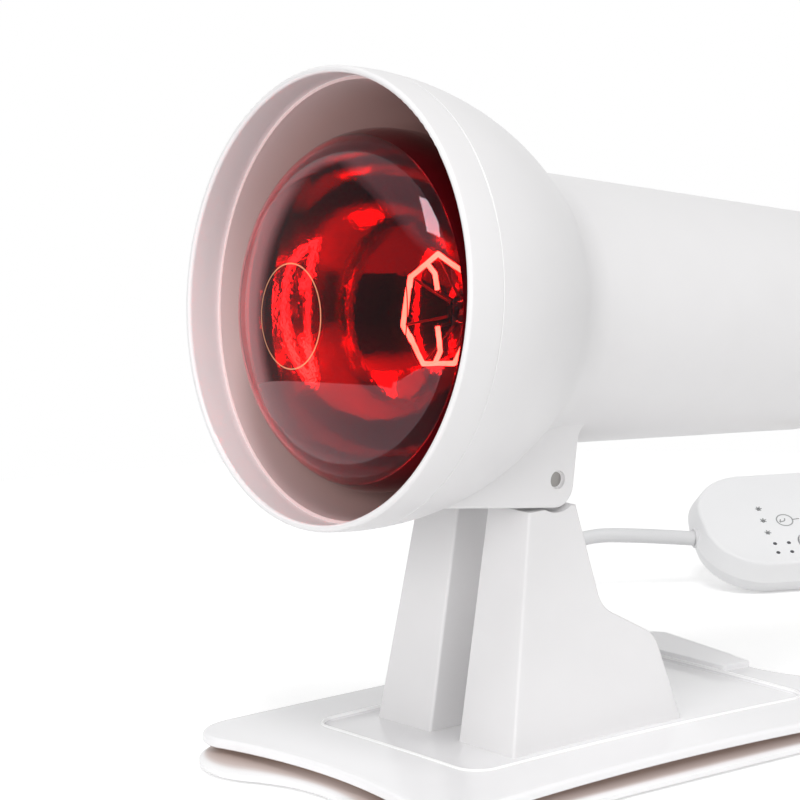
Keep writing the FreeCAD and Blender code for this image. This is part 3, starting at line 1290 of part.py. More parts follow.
def controller_screw_holes():
    """Clearance holes with wells for the screws' heads, from the underside."""
    holes = []
    for x, y in SCREW_SPOTS:
        holes.append(Part.makeCylinder(M3_R, CTRL_T, V(x, y, 0), V(0, 0, 1)))
        holes.append(Part.makeCylinder(M3_HEAD_R, 2 * CTRL_T, V(x, y, CTRL_WALL - 2 * CTRL_T), V(0, 0, 1)))
    return holes


def controller_screws():
    length = CTRL_SPLIT + PILOT_DEPTH - CTRL_WALL - 0.5
    screws = [screw(M3_HEAD_R - 0.2, 1.2, PILOT_R, length, V(x, y, CTRL_WALL), V(0, 0, 1))
              for x, y in SCREW_SPOTS]
    return placed(compound(screws), controller_frame())


def controller_upper():
    shell = leaning_block(0.0, CTRL_FACE_INSET, CTRL_SPLIT, CTRL_T)
    shell = shell.makeFillet(CTRL_TOP_R, flat_edges(shell, CTRL_T))
    inner_top = CTRL_T - CTRL_WALL
    shell = shell.cut(leaning_block(CTRL_WALL, CTRL_FACE_INSET + CTRL_WALL, CTRL_SPLIT, inner_top))
    for x, y in SCREW_SPOTS:
        post = Part.makeCylinder(POST_LOW_R, inner_top - CTRL_SPLIT, V(x, y, CTRL_SPLIT), V(0, 0, 1))
        shell = shell.fuse(post)
        shell = shell.cut(Part.makeCylinder(PILOT_R, PILOT_DEPTH, V(x, y, CTRL_SPLIT), V(0, 0, 1)))
    for x, y, radius in (TIMER_BUTTON, POWER_BUTTON):
        shell = shell.cut(Part.makeCylinder(radius + BUTTON_GAP, CTRL_T, V(x, y, CTRL_SPLIT), V(0, 0, 1)))
    for x, y in ICON_LIGHTS + LEVEL_LIGHTS:
        shell = shell.cut(Part.makeCylinder(LIGHT_R, CTRL_T, V(x, y, CTRL_SPLIT), V(0, 0, 1)))
    for cutter in port_cutters():
        shell = shell.cut(cutter)
    return placed(shell.removeSplitter(), controller_frame())


def controller_board():
    """Circuit board with a relay, a capacitor and a switch under each button."""
    x0, x1, y0, y1 = BOARD_BOX
    board = prism(rounded_rectangle(x0, x1, y0, y1, 2.0, BOARD_Z), V(0, 0, BOARD_T))
    top = BOARD_Z + BOARD_T
    parts = [Part.makeBox(6.0, 6.0, SWITCH_H, V(x - 3.0, y - 3.0, top)) for x, y, _ in
             (TIMER_BUTTON, POWER_BUTTON)]
    parts.append(Part.makeBox(15.0, 8.0, 4.4, V(0, -14.0, top)))
    parts.append(Part.makeCylinder(3.0, 4.8, V(-6.0, 2.0, top), V(0, 0, 1)))
    return placed(board.fuse(parts).removeSplitter(), controller_frame())


def board_holders():
    """Ribs under the board, moulded on the lower shell."""
    x0, x1, y0, y1 = BOARD_BOX
    return [Part.makeBox(4.0, 3.0, BOARD_Z - CTRL_WALL / 2, V(x, y, CTRL_WALL / 2))
            for x in (x0 + 2.0, x1 - 6.0) for y in (y0 + 4.0, y1 - 6.0)]


def controller_lights():
    """Light guide: small studs through the face on a bar behind it."""
    spots = ICON_LIGHTS + LEVEL_LIGHTS
    behind = CTRL_T - CTRL_WALL
    xs, ys = [x for x, _ in spots], [y for _, y in spots]
    x0, y0 = min(xs) - LIGHT_BAR_MARGIN, min(ys) - LIGHT_BAR_MARGIN
    bar = Part.makeBox(max(xs) + LIGHT_BAR_MARGIN - x0, max(ys) + LIGHT_BAR_MARGIN - y0, LIGHT_BAR_T,
                       V(x0, y0, behind - LIGHT_BAR_T))
    studs = [Part.makeCylinder(LIGHT_R, CTRL_WALL, V(x, y, behind), V(0, 0, 1)) for x, y in spots]
    return placed(bar.fuse(studs).removeSplitter(), controller_frame())


def button(place):
    """Button: a disc through the face, a wide flange behind it and a plunger over its switch."""
    x, y, radius = place
    top = CTRL_T + BUTTON_PROUD
    behind = CTRL_T - CTRL_WALL - BUTTON_GAP
    disc = Part.makeCylinder(radius, top - behind, V(x, y, behind), V(0, 0, 1))
    disc = disc.makeFillet(BUTTON_EDGE_R, flat_edges(disc, top))
    flange = Part.makeCylinder(radius + 1.0, 0.8, V(x, y, behind - 0.8), V(0, 0, 1))
    foot = BOARD_Z + BOARD_T + SWITCH_H + BUTTON_TRAVEL + 0.1
    plunger = Part.makeCylinder(1.6, behind - foot, V(x, y, foot), V(0, 0, 1))
    return placed(disc.fuse([flange, plunger]).removeSplitter(), controller_frame())


def controller_bushing(side):
    """Bushing in the end wall, with a flange behind it."""
    start = V(side * CTRL_L / 2, PORT_Y, CTRL_SPLIT)
    inward = V(-side, 0, 0)
    body = Part.makeCylinder(PORT_R, PORT_WALL, start, inward)
    flange = Part.makeCylinder(PORT_R - 0.4, PORT_WALL, start + inward * PORT_WALL, inward)
    return placed(body.fuse(flange).removeSplitter(), controller_frame())


# ---------------------------------------------------------------- second lead, coil and plug
def coil_outer_turn():
    """Radius of the middle of the coil's outermost turns."""
    return COIL_R + (COIL_SIDE - 1) * LEAD_R


def coil_centre():
    """The lead runs straight from the controller and touches the coil's outer top turn."""
    end, heading = controller_port(1)
    right = V(heading.y, -heading.x, 0)
    touch = end + heading * COIL_REACH
    return V(touch.x, touch.y, TIE_T) + right * coil_outer_turn()


def coil_height():
    return COIL_SIDE * 2 * LEAD_R


def coil():
    """Outer shape of the wound turns."""
    half = COIL_SIDE * LEAD_R
    section = filleted_edges([V(COIL_R - half, 0, 0), V(COIL_R + half, 0, 0), V(COIL_R + half, 0, 2 * half),
                              V(COIL_R - half, 0, 2 * half)], [LEAD_R] * 4)
    ring = face_of(section).revolve(V(0, 0, 0), V(0, 0, 1), 360)
    ring.translate(coil_centre())
    return ring


def coil_tie():
    """Flat band round the bundle of turns."""
    half = COIL_SIDE * LEAD_R
    outer = rounded_rectangle(COIL_R - half - TIE_T, COIL_R + half + TIE_T, -TIE_T, 2 * half + TIE_T,
                              LEAD_R + TIE_T, -TIE_WIDTH / 2)
    band = prism(outer, V(0, 0, TIE_WIDTH))
    band.rotate(V(0, 0, 0), V(1, 0, 0), 90)
    band.rotate(V(0, 0, 0), V(0, 0, 1), TIE_ANGLE)
    band.translate(coil_centre())
    return band.cut(coil())


def coil_exit():
    """Point and heading where the tail leaves the coil's bottom outer turn."""
    angle = math.radians(COIL_EXIT_ANGLE)
    out = V(math.cos(angle), math.sin(angle), 0)
    point = coil_centre() + out * coil_outer_turn() + V(0, 0, LEAD_R)
    return point, V(out.y, -out.x, 0)


def lead_b_points():
    end, heading = controller_port(1)
    top = TIE_T + coil_height() - LEAD_R
    touch = end + heading * COIL_REACH
    middle = end + heading * (COIL_REACH / 2)
    return [end, V(middle.x - 0.4, middle.y + 0.2, (end.z + top) / 2 + 0.4), V(touch.x, touch.y, top)]


def plug_frame():
    """Placement of the plug: x along its pins from the tip of its neck, z up."""
    point, heading = coil_exit()
    start = point + heading * PLUG_REACH + V(PLUG_SHIFT, 0, 0)
    rotation = Rotation(V(0, 0, 1), math.degrees(math.atan2(heading.y, heading.x)))
    return Placement(V(start.x, start.y, PLUG_H / 2), rotation)


def tail_points():
    point, heading = coil_exit()
    plug = plug_frame()
    back = plug.Rotation.multVec(V(-1, 0, 0))
    tip = plug.Base
    return [point, point + heading * 15.0 + V(-0.6, 0, 0.4), tip + back * 14.0 + V(0, 0, -1.0), tip]


def plug_body():
    """Flat two-pin plug: a hexagonal grip with rounded edges and a tapered neck round the cord."""
    wide, low = PLUG_W / 2, PLUG_H / 2
    shoulder, waist = PLUG_NECK_L + PLUG_L * 0.45, wide * 0.42
    end = PLUG_NECK_L + PLUG_L
    corners = [V(PLUG_NECK_L, -waist, -low), V(shoulder, -wide, -low), V(end, -wide * 0.8, -low),
               V(end, wide * 0.8, -low), V(shoulder, wide, -low), V(PLUG_NECK_L, waist, -low)]
    grip = prism(face_of(filleted_edges(corners, [2.0, 5.0, 2.5, 2.5, 5.0, 2.0])), V(0, 0, PLUG_H))
    grip = grip.makeFillet(2.0, flat_edges(grip, -low) + flat_edges(grip, low))
    neck = Part.makeCone(LEAD_R + 0.5, low * 0.8, PLUG_NECK_L + 2.0, V(0, 0, 0), V(1, 0, 0))
    return placed(grip.fuse(neck).removeSplitter(), plug_frame())


def plug_pins():
    end = PLUG_NECK_L + PLUG_L
    pins = []
    for side in (-1, 1):
        pin = Part.makeCylinder(PLUG_PIN_R, PLUG_PIN_LEN, V(end, side * PLUG_PIN_PITCH / 2, 0), V(1, 0, 0))
        tip = [e for e in pin.Edges if e.BoundBox.XMin > end + PLUG_PIN_LEN - 1e-6]
        neck = tube(2 * PLUG_PIN_R, PLUG_PIN_R - SLEEVE_T, SLEEVE_LEN, V(end, side * PLUG_PIN_PITCH / 2, 0),
                    V(1, 0, 0))
        pins.append(pin.makeFillet(PLUG_PIN_R * 0.7, tip).cut(neck))
    return placed(compound(pins), plug_frame())


def pin_sleeves():
    """Insulating sleeves, flush in the necks of the pins."""
    end = PLUG_NECK_L + PLUG_L
    return placed(compound([tube(PLUG_PIN_R, PLUG_PIN_R - SLEEVE_T, SLEEVE_LEN,
                                 V(end, side * PLUG_PIN_PITCH / 2, 0), V(1, 0, 0)) for side in (-1, 1)]),
                  plug_frame())


def head_lead_points():
    """From the slot over the ears, back beside the lamp holder to its terminals (head frame)."""
    along = [V(x, s, height - BARREL_R) for x, s, height in HEAD_LEAD_ALONG]
    return along + [V(*point) for point in HEAD_LEAD_END]


def main():
    os.makedirs("parts", exist_ok=True)
    save("front_ring", placed(front_ring(), HEAD))
    save("head_housing", placed(head_housing(), HEAD))
    save("rear_cap", placed(rear_cap(), HEAD))
    save("rear_cap_screws", placed(rear_cap_screws(), HEAD))
    save("hinge_pin", placed(hinge_pin(), HEAD))
    save("friction_washers", placed(friction_washers(), HEAD))
    save("bulb_dome", placed(bulb_dome(), SOCKET))
    save("bulb_bowl", placed(bulb_bowl(), SOCKET))
    save("bulb_screw_cap", placed(bulb_screw_cap(), SOCKET))
    save("bulb_insulator", placed(bulb_insulator(), SOCKET))
    save("bulb_contact", placed(bulb_contact(), SOCKET))
    save("bulb_stem", placed(bulb_stem(), SOCKET))
    save("filament", placed(filament(), SOCKET))
    save("filament_supports", placed(filament_supports(), SOCKET))
    save("lamp_holder", placed(lamp_holder(), SOCKET))
    save("holder_shell", placed(holder_shell(), SOCKET))
    save("holder_contact", placed(holder_contact(), SOCKET))
    save("holder_bracket", placed(holder_bracket(), SOCKET))
    save("holder_screws", placed(holder_screws(), SOCKET))
    save("bracket_screws", placed(bracket_screws(), SOCKET))
    right = stand_right()
    save("stand_right", right)
    save("stand_left", stand_left(right))
    save("hinge_spacer", hinge_spacer())
    save("stand_screws", stand_screws())
    save("base_top", base_top())
    save("base_tray", base_tray())
    save("base_feet", compound(foot_pads()))
    save("base_screws", base_screws())
    save("ballast_plate", ballast_plate())
    save("cord_cover", cord_cover())
    save("strain_relief", strain_relief())
    save("inner_lead", cord_tube(inner_lead_points(), INNER_LEAD_R, "inner_lead"))
    save("head_lead", placed(cord_tube(head_lead_points(), INNER_LEAD_R, "head_lead"), HEAD))
    save("controller_lower", controller_lower())
    save("controller_upper", controller_upper())
    save("controller_board", controller_board())
    save("controller_lights", controller_lights())
    save("controller_screws", controller_screws())
    save("timer_button", button(TIMER_BUTTON))
    save("power_button", button(POWER_BUTTON))
    save("controller_inlet", controller_bushing(-1))
    save("controller_outlet", controller_bushing(1))
    save("lead_to_controller", cord_tube(lead_a_points(), LEAD_R, "lead_a"))
    save("lead_to_coil", cord_tube(lead_b_points(), LEAD_R, "lead_b").cut(coil()))
    save("lead_coil", coil())
    save("coil_tie", coil_tie())
    save("lead_to_plug", cord_tube(tail_points(), LEAD_R, "tail").cut(coil()))
    save("plug_body", plug_body())
    save("plug_pins", plug_pins())
    save("pin_sleeves", pin_sleeves())


main()
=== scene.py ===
"""Infrared heat therapy lamp: looks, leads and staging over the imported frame.

Metres, +Z up, the lamp faces -Y.
"""
import bpy
import math
from mathutils import Matrix, Vector


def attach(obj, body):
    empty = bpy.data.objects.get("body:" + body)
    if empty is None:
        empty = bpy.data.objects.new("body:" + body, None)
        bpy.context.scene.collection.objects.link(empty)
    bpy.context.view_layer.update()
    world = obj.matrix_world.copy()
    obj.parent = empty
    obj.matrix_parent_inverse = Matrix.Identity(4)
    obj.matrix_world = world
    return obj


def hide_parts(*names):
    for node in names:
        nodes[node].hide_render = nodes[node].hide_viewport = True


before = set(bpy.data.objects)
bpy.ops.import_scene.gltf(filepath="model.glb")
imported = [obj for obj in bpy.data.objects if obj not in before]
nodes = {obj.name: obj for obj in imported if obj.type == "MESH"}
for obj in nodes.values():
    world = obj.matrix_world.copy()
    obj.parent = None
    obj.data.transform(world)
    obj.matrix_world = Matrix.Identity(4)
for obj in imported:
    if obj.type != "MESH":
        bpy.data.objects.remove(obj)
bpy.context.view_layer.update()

MM = 0.001
WHITE = (1.0, 1.0, 1.0, 1.0)

# the head's own frame at rest: origin in the rim's plane on the optical axis, then back and up
HEAD_ORIGIN = Vector((0.0, -0.083602, 0.130711))
HEAD_BACK = Vector((0.0, 0.99122, -0.13226))
HEAD_UP = Vector((0.0, 0.13226, 0.99122))
# the shade's section is an arc: its centre's place along the axis and past it, and its inner radius
SHADE_ARC_S = 0.003
SHADE_ARC_DROP = 0.0237
SHADE_INNER_REACH = 0.0805
# the bulb sags a little about its socket
BULB_PIVOT = 0.128
BULB_SAG = math.radians(1.2)
DOME_CENTRE = 0.079
DOME_RADIUS = 0.086
# the bulb's shoulder is an arc too: its centre's place along the bulb and off its axis, its radius
SHOULDER_S = 0.0191
SHOULDER_RING = 0.0265
SHOULDER_RADIUS = 0.0205


def linked(name, data):
    """Object with that data, linked into the scene."""
    thing = bpy.data.objects.new(name, data)
    bpy.context.scene.collection.objects.link(thing)
    return thing


def mesh_of(name, verts, faces, material):
    mesh = bpy.data.meshes.new(name)
    mesh.from_pydata(verts, [], faces)
    mesh.materials.append(material)
    return mesh


def bulb_point(x, back, up):
    """Point in the bulb's own frame, which sags a little about its socket."""
    run = back - BULB_PIVOT
    s = BULB_PIVOT + run * math.cos(BULB_SAG) - up * math.sin(BULB_SAG)
    u = up * math.cos(BULB_SAG) + run * math.sin(BULB_SAG)
    return HEAD_ORIGIN + Vector((x, 0, 0)) + HEAD_BACK * s + HEAD_UP * u


# ---------------------------------------------------------------- camera
# solved on the photograph's rim circle, base outline and recess
CAMERA_PLACE = Vector((0.69047, -0.60377, 0.24982))
CAMERA_RIGHT = Vector((0.64327, 0.76557, -0.01000))
CAMERA_UP = Vector((-0.14490, 0.13456, 0.98025))
CAMERA_BACK = Vector((0.75180, -0.62912, 0.19750))
SENSOR_WIDTH = 36.0
LENS = 154.16
SHIFT = (-0.1209, 0.1363)
CLIP = (0.01, 20.0)


def add_camera():
    data = bpy.data.cameras.new("camera")
    data.sensor_width = SENSOR_WIDTH
    data.lens = LENS
    data.shift_x, data.shift_y = SHIFT
    data.clip_start, data.clip_end = CLIP
    camera = linked("camera", data)
    turn = Matrix((CAMERA_RIGHT, CAMERA_UP, CAMERA_BACK)).transposed()
    camera.matrix_world = Matrix.Translation(CAMERA_PLACE) @ turn.to_4x4()
    bpy.context.scene.camera = camera


# ---------------------------------------------------------------- nodes of a material
def new_material(name):
    material = bpy.data.materials.new(name)
    material.use_nodes = True
    tree = material.node_tree
    return material, tree, tree.nodes["Principled BSDF"]


def coordinates(tree, kind="Object"):
    """A piece's own coordinates, which stay put in every view, or another kind of them."""
    return tree.nodes.new("ShaderNodeTexCoord").outputs[kind]


def components(tree, vector):
    node = tree.nodes.new("ShaderNodeSeparateXYZ")
    tree.links.new(vector, node.inputs[0])
    return node.outputs


def maths(tree, operation, first, second=None, third=None, clamp=False):
    """Math node over sockets and plain numbers."""
    node = tree.nodes.new("ShaderNodeMath")
    node.operation = operation
    node.use_clamp = clamp
    for socket, value in zip(node.inputs, (first, second, third)):
        if value is None:
            continue
        if isinstance(value, (int, float)):
            socket.default_value = value
        else:
            tree.links.new(value, socket)
    return node.outputs[0]


def length_of(tree, first, second):
    squares = [maths(tree, "MULTIPLY", side, side) for side in (first, second)]
    return maths(tree, "SQRT", maths(tree, "ADD", *squares))


def dot_with(tree, vector, direction):
    node = tree.nodes.new("ShaderNodeVectorMath")
    node.operation = "DOT_PRODUCT"
    tree.links.new(vector, node.inputs[0])
    node.inputs[1].default_value = direction
    return node.outputs["Value"]


def axis_coordinates(tree, origin, along, up):
    """Distance along an axis and radius from it, in the frame that the axis moves with."""
    shift = tree.nodes.new("ShaderNodeVectorMath")
    shift.operation = "SUBTRACT"
    tree.links.new(coordinates(tree), shift.inputs[0])
    shift.inputs[1].default_value = origin
    height = dot_with(tree, shift.outputs[0], up)
    side = dot_with(tree, shift.outputs[0], (1.0, 0.0, 0.0))
    return dot_with(tree, shift.outputs[0], along), length_of(tree, height, side)


def height_over(tree, origin, up):
    """Distance above a point along a direction, in the frame that the piece moves with."""
    return maths(tree, "SUBTRACT", dot_with(tree, coordinates(tree), up), origin.dot(up))


def colour_band(tree, factor, stops):
    """Colour ramp through (position, colour) stops."""
    node = tree.nodes.new("ShaderNodeValToRGB")
    elements = node.color_ramp.elements
    while len(elements) < len(stops):
        elements.new(0.5)
    for element, (position, colour) in zip(elements, stops):
        element.position = position
        element.color = (*colour, 1.0)
    tree.links.new(factor, node.inputs["Fac"])
    return node.outputs["Color"]


def blend_colours(tree, factor, first, second):
    node = tree.nodes.new("ShaderNodeMix")
    node.data_type = "RGBA"
    tree.links.new(factor, node.inputs["Factor"])
    tree.links.new(first, node.inputs["A"])
    tree.links.new(second, node.inputs["B"])
    return node.outputs["Result"]


def tint(material, share, colour):
    """Blends another colour over the material's own, by a share from 0 to 1."""
    tree = material.node_tree
    base = tree.nodes["Principled BSDF"].inputs["Base Color"]
    tree.links.new(blend_colours(tree, share, base.links[0].from_socket, colour), base)


def noise(tree, scale, detail, roughness=0.5):
    """Noise in the piece's own coordinates."""
    texture = tree.nodes.new("ShaderNodeTexNoise")
    texture.inputs["Scale"].default_value = scale
    texture.inputs["Detail"].default_value = detail
    texture.inputs["Roughness"].default_value = roughness
    tree.links.new(coordinates(tree), texture.inputs["Vector"])
    return texture.outputs["Fac"]


NOISE_LOW = 0.3            # the noise's values at a drift's two ends
NOISE_HIGH = 0.7


def drift_between(tree, source, low, high):
    """Colour that drifts between two with a noise."""
    return colour_band(tree, source, ((NOISE_LOW, low), (NOISE_HIGH, high)))


def drift_about(tree, source, colour, less, more):
    """Colour that drifts between two shares of one, but not past white."""
    low, high = [[min(1.0, c * share) for c in colour] for share in (less, more)]
    return drift_between(tree, source, low, high)


def add_relief(tree, shader, source, strength, depth):
    relief = tree.nodes.new("ShaderNodeBump")
    relief.inputs["Strength"].default_value = strength
    relief.inputs["Distance"].default_value = depth
    tree.links.new(source, relief.inputs["Height"])
    tree.links.new(relief.outputs["Normal"], shader.inputs["Normal"])


# ---------------------------------------------------------------- materials
ROUGHNESS_SPREAD = 0.08
GRAIN_DEPTH = 0.0002
GLASS_IOR = 1.48


def textured(name, colour, roughness, spread, bump, grain=1400.0, mottle=45.0, metallic=0.0):
    """Surface with a slow drift of colour and roughness and a fine grain."""
    material, tree, shader = new_material(name)
    drift = noise(tree, mottle, detail=2.0)
    tree.links.new(drift_about(tree, drift, colour, 1 - spread, 1 + spread), shader.inputs["Base Color"])
    rough = drift_about(tree, drift, (roughness,) * 3, 1 - ROUGHNESS_SPREAD, 1 + ROUGHNESS_SPREAD)
    tree.links.new(rough, shader.inputs["Roughness"])
    shader.inputs["Metallic"].default_value = metallic
    add_relief(tree, shader, noise(tree, grain, detail=4.0, roughness=0.6), bump, GRAIN_DEPTH)
    return material


def plastic(name, colour):
    return textured(name, colour, 0.34, 0.01, 0.03)


def metal(name, colour, roughness, spread, bump, grain=900.0, mottle=60.0):
    return textured(name, colour, roughness, spread, bump, grain, mottle, 1.0)


def glass(name, colour, sheen=(1.0, 1.0, 1.0)):
    material, tree, shader = new_material(name)
    hue = drift_about(tree, noise(tree, scale=30.0, detail=1.0), colour, 0.94, 1.05)
    tree.links.new(hue, shader.inputs["Base Color"])
    shader.inputs["Roughness"].default_value = 0.0
    shader.inputs["IOR"].default_value = GLASS_IOR
    shader.inputs["Transmission Weight"].default_value = 1.0
    shader.inputs["Specular Tint"].default_value = (*sheen, 1.0)
    return material


def glowing(name, colour, strength):
    material, tree, shader = new_material(name)
    hue = drift_about(tree, noise(tree, scale=220.0, detail=2.0), colour, 0.8, 1.15)
    tree.links.new(hue, shader.inputs["Emission Color"])
    shader.inputs["Base Color"].default_value = (0.1, 0.02, 0.01, 1.0)
    shader.inputs["Emission Strength"].default_value = strength
    return material


# the mirror's colour along the bulb, over this length, is a painted reflection: painted bright low down in
# it, painted dim above and darker deeper in
MIRROR_SPAN = 0.1
MIRROR_PAINTED_LIGHT_STOPS = ((0.28, (1.0, 0.20, 0.25)), (0.38, (0.90, 0.16, 0.21)), (0.56, (0.24, 0.05, 0.08)))
MIRROR_PAINTED_SHADE_STOPS = ((0.28, (0.50, 0.085, 0.14)), (0.38, (0.34, 0.06, 0.10)), (0.56, (0.16, 0.035, 0.06)))
MIRROR_PAINTED_LIGHT_SHARE = (-120.0, -0.7)      # slope and offset over the height: 0 is dim, 1 is bright
MIRROR_ROUGHNESS = 0.05
MIRROR_SOFT_ROUGHNESS = 0.3
MIRROR_SOFT_SHARE = 0.08
RIPPLE_STRENGTH = 0.5
RIPPLE_DEPTH = 0.00008
LACQUER = ((0.15, 0.006, 0.012), (0.20, 0.009, 0.016))
# the bowl's outside is past these radii: about the shoulder's centre, and behind it about a point
# this far off the axis
FRONT_SKIN = SHOULDER_RADIUS - 0.0005
BEHIND_SKIN = 0.0455
BEHIND_RING = 0.001


def mirror_glass(name):
    """Aluminised inside of the bowl, a clear reflection over a softer one, its colour a painted reflection,
    bright low down and dim above; its outside is lacquered.
    """
    material, tree, shader = new_material(name)
    lacquer = drift_between(tree, noise(tree, scale=60.0, detail=2.0), *LACQUER)
    origin = bulb_point(0, 0, 0)
    along, up = bulb_point(0, 1, 0) - origin, bulb_point(0, 0, 1) - origin
    back, radius = axis_coordinates(tree, origin, along, up)
    past_shoulder = maths(tree, "SUBTRACT", back, SHOULDER_S)
    front = length_of(tree, past_shoulder, maths(tree, "SUBTRACT", radius, SHOULDER_RING))
    behind = length_of(tree, past_shoulder, maths(tree, "SUBTRACT", radius, BEHIND_RING))
    on_front = maths(tree, "MULTIPLY", maths(tree, "GREATER_THAN", front, FRONT_SKIN),
                     maths(tree, "LESS_THAN", back, SHOULDER_S))
    outside = maths(tree, "MAXIMUM", on_front, maths(tree, "GREATER_THAN", behind, BEHIND_SKIN))
    run = maths(tree, "MULTIPLY", back, 1 / MIRROR_SPAN, clamp=True)
    # painted light: the mirror's colour is painted brighter low down in the bowl and dimmer higher up
    low = maths(tree, "MULTIPLY_ADD", height_over(tree, origin, up), *MIRROR_PAINTED_LIGHT_SHARE, clamp=True)
    painted_reflection_colour = blend_colours(tree, low, colour_band(tree, run, MIRROR_PAINTED_SHADE_STOPS),
                           colour_band(tree, run, MIRROR_PAINTED_LIGHT_STOPS))
    colour = blend_colours(tree, outside, painted_reflection_colour, lacquer)
    soft = tree.nodes.new("ShaderNodeBsdfPrincipled")
    for surface, roughness in ((shader, MIRROR_ROUGHNESS), (soft, MIRROR_SOFT_ROUGHNESS)):
        tree.links.new(colour, surface.inputs["Base Color"])
        surface.inputs["Metallic"].default_value = 1.0
        surface.inputs["Roughness"].default_value = roughness
    ripples = noise(tree, scale=300.0, detail=3.0, roughness=0.7)
    add_relief(tree, shader, ripples, RIPPLE_STRENGTH, RIPPLE_DEPTH)
    mix = tree.nodes.new("ShaderNodeMixShader")
    mix.inputs["Fac"].default_value = MIRROR_SOFT_SHARE
    tree.links.new(shader.outputs[0], mix.inputs[1])
    tree.links.new(soft.outputs[0], mix.inputs[2])
    tree.links.new(mix.outputs[0], tree.nodes["Material Output"].inputs["Surface"])
    return material


# painted red glow of the lit bulb and painted shade on the inner wall behind the rim: the length that they
# run over, and where the painted glow ends
PAINTED_GLOW_SPAN = 0.060
PAINTED_GLOW_END = 0.070
SHADE_PAINTED_GLOW_STOPS = ((0.0, (0.95, 0.80, 0.81)), (0.35, (0.76, 0.51, 0.48)), (1.0, (0.30, 0.09, 0.07)))
SHADE_LIMIT = SHADE_INNER_REACH + 0.0008
RING_PAINTED_GLOW_STOPS = ((0.0, (0.92, 0.88, 0.89)), (0.15, (0.92, 0.83, 0.84)), (1.0, (0.80, 0.60, 0.59)))
RING_LIMIT = SHADE_INNER_REACH + 0.0012


def add_painted_bulb_glow(material, stops, limit):
    """Paints the red glow of the lit bulb on the shade's inner wall, with painted shade that deepens towards
    its back.
    """
    tree = material.node_tree
    back, radius = axis_coordinates(tree, HEAD_ORIGIN, HEAD_BACK, HEAD_UP)
    reach = length_of(tree, maths(tree, "SUBTRACT", back, SHADE_ARC_S),
                      maths(tree, "ADD", radius, SHADE_ARC_DROP))
    glow_mask = maths(tree, "MULTIPLY", maths(tree, "LESS_THAN", reach, limit),
                   maths(tree, "LESS_THAN", back, PAINTED_GLOW_END))
    painted_glow_colour = colour_band(tree, maths(tree, "MULTIPLY", back, 1 / PAINTED_GLOW_SPAN, clamp=True), stops)
    tint(material, glow_mask, painted_glow_colour)


# painted shade on the tray by height, over this much of it, from its band up into the groove
GROOVE_PAINTED_SHADE_SPAN = 0.01
GROOVE_PAINTED_SHADE_STOPS = ((0.27, (0.88, 0.85, 0.85)), (0.34, (0.58, 0.48, 0.45)), (0.46, (0.34, 0.25, 0.215)))
GROOVE_PAINTED_SHADE_SHARE = (2000.0, -5.2)    # slope and offset over the height: none at 2.6 mm, whole at 3.1 mm


def paint_groove_shade(material):
    """Painted shade: the groove under the base's lip is painted a brownish dark, paler towards the tray's
    band.
    """
    tree = material.node_tree
    height = components(tree, coordinates(tree))["Z"]
    # painted shade, darkest up in the groove under the lip
    depth = colour_band(tree, maths(tree, "MULTIPLY", height, 1 / GROOVE_PAINTED_SHADE_SPAN, clamp=True), GROOVE_PAINTED_SHADE_STOPS)
    tint(material, maths(tree, "MULTIPLY_ADD", height, *GROOVE_PAINTED_SHADE_SHARE, clamp=True), depth)


def dress(material, *names):
    """Gives the CAD nodes of those names the material."""
    for name in names:
        node = nodes[name]
        if not node.material_slots:
            node.data.materials.append(material)
        for slot in node.material_slots:
            slot.material = material
    return material


HOUSING_WHITE = (0.82, 0.81, 0.815)


